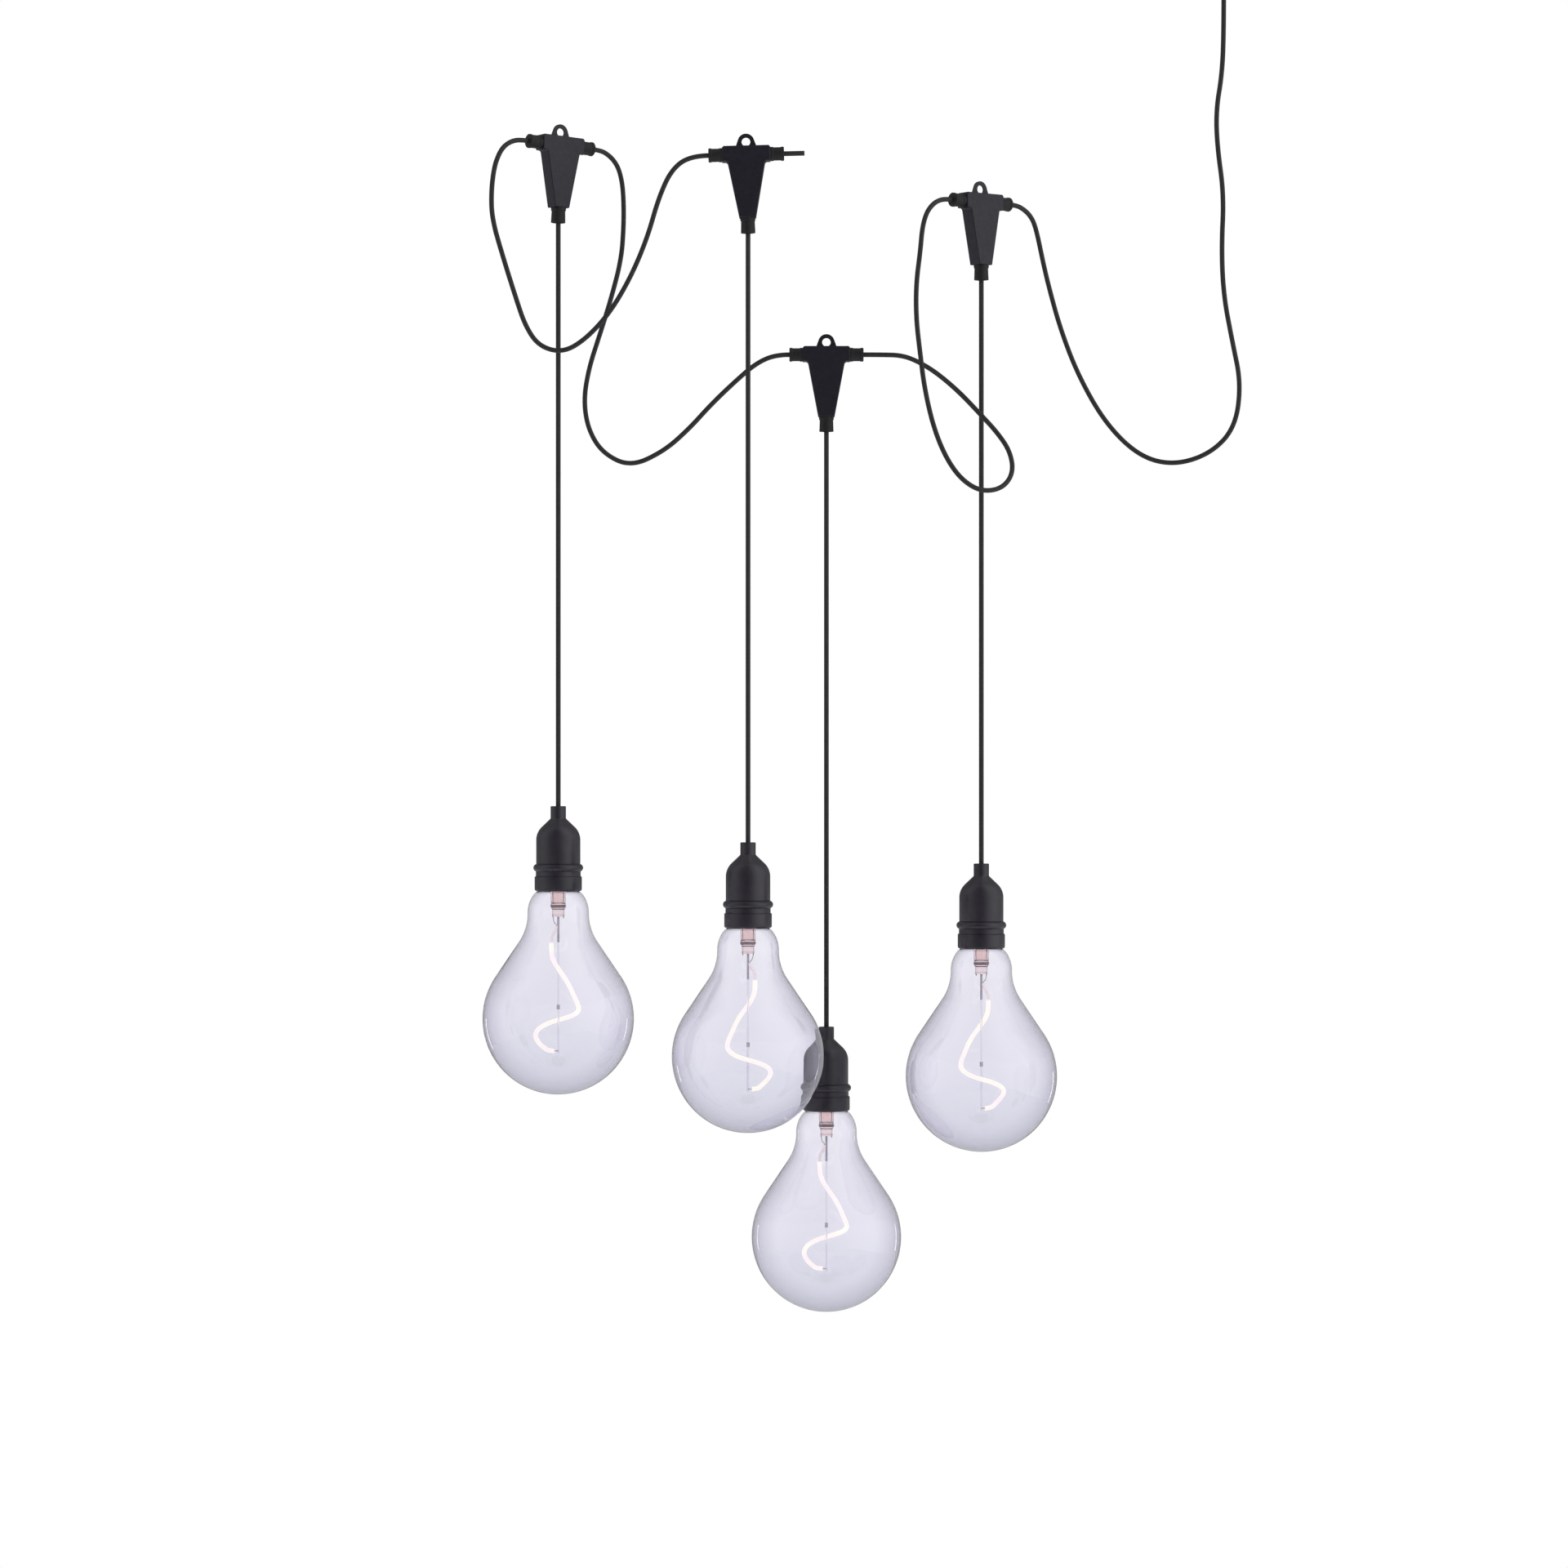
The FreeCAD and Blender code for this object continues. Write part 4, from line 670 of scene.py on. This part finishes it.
def glass_face(inset):
    """One face of the bulb from crown to bottom, as touching arcs and a straight flank."""
    shape = BULB
    gap = shape.shoulder - shape.crown
    tilt = math.radians(shape.shoulder_angle)
    crown_across = shape.neck - shape.shoulder + gap * math.cos(tilt)
    crown_up = gap * math.sin(tilt) - shape.shoulder_depth
    flank = math.radians(shape.flank)
    globe = shape.globe - inset
    bend = shape.bend + inset
    neck = shape.neck - inset
    leave = (globe * math.cos(flank), globe * math.sin(flank) - shape.globe_depth)
    bend_across = neck + bend * (1 - math.cos(flank))
    bend_up = leave[1] + (leave[0] - bend_across) / math.tan(flank)
    bend_centre = bend_up + bend * math.sin(flank)
    return np.concatenate([
        arc(crown_across, crown_up, shape.crown - inset, 90, shape.shoulder_angle, STEPS.crown),
        arc(shape.neck - shape.shoulder, -shape.shoulder_depth, shape.shoulder - inset,
            shape.shoulder_angle, 0, STEPS.crown)[1:],
        arc(neck + bend, bend_centre, bend, 180, 180 + shape.flank, STEPS.bend),
        arc(0, -shape.globe_depth, globe, shape.flank, -90, STEPS.globe)])


def bulb_glass(number, glass):
    """Blown bulb: outer and inner face, joined at the stub that the cap is cemented to.

    Each point keeps how deep it lies, from 0 at the stub to 1 at the bottom, for the tint.
    """
    wall = BULB.wall
    outside = glass_face(0)
    inside = glass_face(wall)
    top = outside[0, 1] + BULB.stub_height
    stub = softened([
        (BULB.stub - wall, inside[0, 1]), (BULB.stub - wall, top, EDGE.stub),
        (BULB.stub, top, EDGE.stub), (BULB.stub, outside[0, 1])])
    inside[-1, 0] = 0
    outside[-1, 0] = 0
    outline = np.concatenate([inside[::-1], stub, outside])
    piece = surface_piece("glass_%d" % number, carried_round(outline, ROUND.bulb),
                          "bulb_%d" % number, glass, ("bulb_glass_%d" % number,),
                          bulb_matrix(number), crisp=60)
    places = np.empty(3 * len(piece.data.vertices))
    piece.data.vertices.foreach_get("co", places)
    heights = places[2::3]
    share = (heights.max() - heights) / np.ptp(heights)
    piece.data.attributes.new("depth", "FLOAT", "POINT").data.foreach_set("value", share)


def bulb_mount(number, finishes):
    """Glass stem and rod with their collar, sleeve and clip, the leads and the strip's bare end."""
    size = MOUNT
    body = "bulb_%d" % number
    matrix = bulb_matrix(number)
    stem = surface_piece("stem_%d" % number, carried_round(softened(STEM_OUTLINE), ROUND.stem),
                         body, finishes.stem, ("bulb_mount_%d" % number,), matrix)
    rod = softened([(0, size.rod_top), (size.rod, size.rod_top, EDGE.rod_top),
                    (size.rod, size.rod_foot, EDGE.rod_foot), (0, size.rod_foot)])
    surface_piece("rod_%d" % number, carried_round(rod, ROUND.thin), body, finishes.clear,
                  matrix=matrix)
    for kind, metal, bore, wide, top, low in (
            ("collar", finishes.wire, size.collar_bore, size.collar, size.collar_top,
             size.collar_foot),
            ("sleeve", finishes.steel, size.rod, size.sleeve, size.sleeve_top, size.sleeve_foot),
            ("clip", finishes.steel, size.rod, size.clip, size.clip_top, size.clip_foot)):
        tube = softened([(bore, low), (bore, top), (wide, top, EDGE.tube),
                         (wide, low, EDGE.tube), (bore, low)])
        surface_piece("%s_%d" % (kind, number), carried_round(tube[:-1], ROUND.tube), body,
                      metal, matrix=matrix, ring=True)
    across = FILAMENT.spread * FILAMENT_SHARES[0][0]
    foot = -FILAMENT.top - FILAMENT.height
    bare_end = BARE_END + [(across - BARE_BEND.outward, 0, BARE_BEND.level),
                           (across, 0, -FILAMENT.top)]
    foot_lead = [(0, 0, foot), (-size.rod, 0, foot), (-size.rod - FILAMENT.foot_lead, 0, foot)]
    lines = [("tail", bare_end, size.tail_diameter, finishes.silicone)]
    lines += [("lead_" + end, route, size.lead_diameter, finishes.wire)
              for end, route in SEALED_LEADS.items()]
    lines += [("lead_upper", UPPER_LEAD, size.lead_diameter, finishes.nickel),
              ("lead_foot", foot_lead, size.lead_diameter, finishes.nickel)]
    for kind, route, diameter, material in lines:
        points = [matrix @ (Vector(point) * MM) for point in route]
        round_line("%s_%d" % (kind, number), points, diameter * MM, body, material)


def filament(number, strip):
    """Lit strip in an open spiral that widens downward."""
    size = FILAMENT
    matrix = bulb_matrix(number)
    points = [matrix @ (Vector((across * size.spread, back * size.spread,
                                -size.top - down * size.height)) * MM)
              for across, back, down in FILAMENT_SHARES]
    end = matrix @ (Vector((-MOUNT.rod - size.foot_lead, 0, -size.top - size.height)) * MM)
    piece = round_line("strip_%d" % number, points + [end], size.diameter * MM,
                       "bulb_%d" % number, strip, ("filament_%d" % number,))


def make_pendants(finishes):
    """Holder, bulb and filament of each pendant."""
    for number in PENDANTS:
        holder_dome(number, finishes.phenolic)
        holder_skirt(number, finishes.phenolic)
        bulb_glass(number, finishes.glass)
        bulb_mount(number, finishes)
        filament(number, finishes.strip)


def finish_nodes(finishes):
    """Better finishes for the CAD nodes that stay."""
    kept = {
        "tee_side_glands": finishes.rubber, "tee_drop_glands": finishes.rubber,
        "cable_splices": finishes.sheath, "ceiling_cup": finishes.coat,
        "ceiling_bracket": finishes.zinc, "ceiling_cord_grip": finishes.rubber,
        "ceiling_screws": finishes.zinc}
    for number in PENDANTS:
        kept["tee_%d_front_shell" % number] = finishes.nylon
        kept["tee_%d_back_shell" % number] = finishes.nylon
        kept["holder_insert_%d" % number] = finishes.ceramic
        kept["holder_contacts_%d" % number] = finishes.brass
        kept["seal_%d" % number] = finishes.rubber
        kept["bulb_cap_%d" % number] = finishes.nickel
    for name, material in kept.items():
        for slot in NODES[name].material_slots:
            slot.material = material


# Studio.

def make_floor():
    """Plain pale square under the part."""
    mesh = bpy.data.meshes.new("floor")
    corners = [(side * FLOOR.half + FLOOR.across, end * FLOOR.half, FLOOR.level)
               for side, end in ((-1, -1), (1, -1), (1, 1), (-1, 1))]
    mesh.from_pydata(corners, [], [(0, 1, 2, 3)])
    mesh.materials.append(floor_paint())
    floor = bpy.data.objects.new("floor", mesh)
    bpy.context.scene.collection.objects.link(floor)


def make_world():
    """White to the camera and through glass; soft grey light; a dark front in reflections."""
    world = bpy.data.worlds.new("studio")
    bpy.context.scene.world = world
    world.use_nodes = True
    tree = world.node_tree
    tree.nodes.clear()
    ray = add(tree, "ShaderNodeLightPath")
    seen = add(tree, "ShaderNodeMath", links={0: ray.outputs["Is Camera Ray"],
                                             1: ray.outputs["Is Transmission Ray"]},
               operation="MAXIMUM")
    way = add(tree, "ShaderNodeTexCoord").outputs["Generated"]
    part = add(tree, "ShaderNodeSeparateXYZ", links={"Vector": way})
    ahead = add(tree, "ShaderNodeMath", {1: -1.0}, {0: part.outputs["Y"]}, operation="MULTIPLY")
    bearing = add(tree, "ShaderNodeMath", links={0: part.outputs["X"], 1: ahead.outputs[0]},
                  operation="ARCTAN2")
    share = add(tree, "ShaderNodeMapRange", {"From Min": -math.pi, "From Max": math.pi,
                                             "To Min": 0.0, "To Max": 1.0},
                {"Value": bearing.outputs[0]})
    walls = add(tree, "ShaderNodeValToRGB", links={"Fac": share.outputs["Result"]})
    stops = walls.color_ramp.elements
    while len(stops) < len(WALLS):
        stops.new(0.5)
    for stop, (angle, strength) in zip(stops, WALLS):
        stop.position = angle / 360 + 0.5
        stop.color = (strength, strength, strength, 1)
    mirrored = add(tree, "ShaderNodeBackground", {"Strength": 1.0},
                   {"Color": walls.outputs["Color"]})
    soft = add(tree, "ShaderNodeBackground", {"Color": colour("#f4f5fa"), "Strength": 0.75})
    white = add(tree, "ShaderNodeBackground", {"Color": (1, 1, 1, 1), "Strength": 1.0})
    lit = add(tree, "ShaderNodeMixShader", links={0: ray.outputs["Is Glossy Ray"],
                                                 1: soft.outputs[0], 2: mirrored.outputs[0]})
    whole = add(tree, "ShaderNodeMixShader", links={0: seen.outputs[0], 1: lit.outputs[0],
                                                   2: white.outputs[0]})
    add(tree, "ShaderNodeOutputWorld", links={"Surface": whole.outputs[0]})


def softbox(name, place, size, power, mirrored):
    """Rectangular lamp that faces the middle of the picture and that the camera doesn't see."""
    aim = Vector((CAMERA.across, 0, CAMERA.up))
    data = bpy.data.lights.new(name, "AREA")
    data.shape = "RECTANGLE"
    data.size, data.size_y = size
    data.energy = power
    lamp = bpy.data.objects.new(name, data)
    lamp.location = place
    lamp.visible_camera = False
    lamp.visible_glossy = mirrored
    lamp.visible_transmission = False
    lamp.rotation_euler = (aim - Vector(place)).to_track_quat("-Z", "Y").to_euler()
    bpy.context.scene.collection.objects.link(lamp)


make_camera()
finishes = SimpleNamespace(
    sheath=cable_sheath(), rubber=gland_rubber(), nylon=moulded_nylon(),
    phenolic=moulded_phenolic(), glass=blown_glass(), clear=rod_glass(), stem=stem_glass(),
    wire=copper_wire(), steel=drawn_steel(), strip=lit_filament(), silicone=silicone_with_painted_glow(),
    nickel=nickel_plate(), brass=rolled_brass(), zinc=zinc_plate(), ceramic=steatite(),
    coat=powder_coat())
make_cords(finishes.sheath)
make_tail(finishes.sheath, finishes.wire)
make_pendants(finishes)
finish_nodes(finishes)
make_floor()
make_world()
for lamp_details in LAMPS:
    softbox(*lamp_details)

scene = bpy.context.scene
scene.view_settings.view_transform = "Standard"
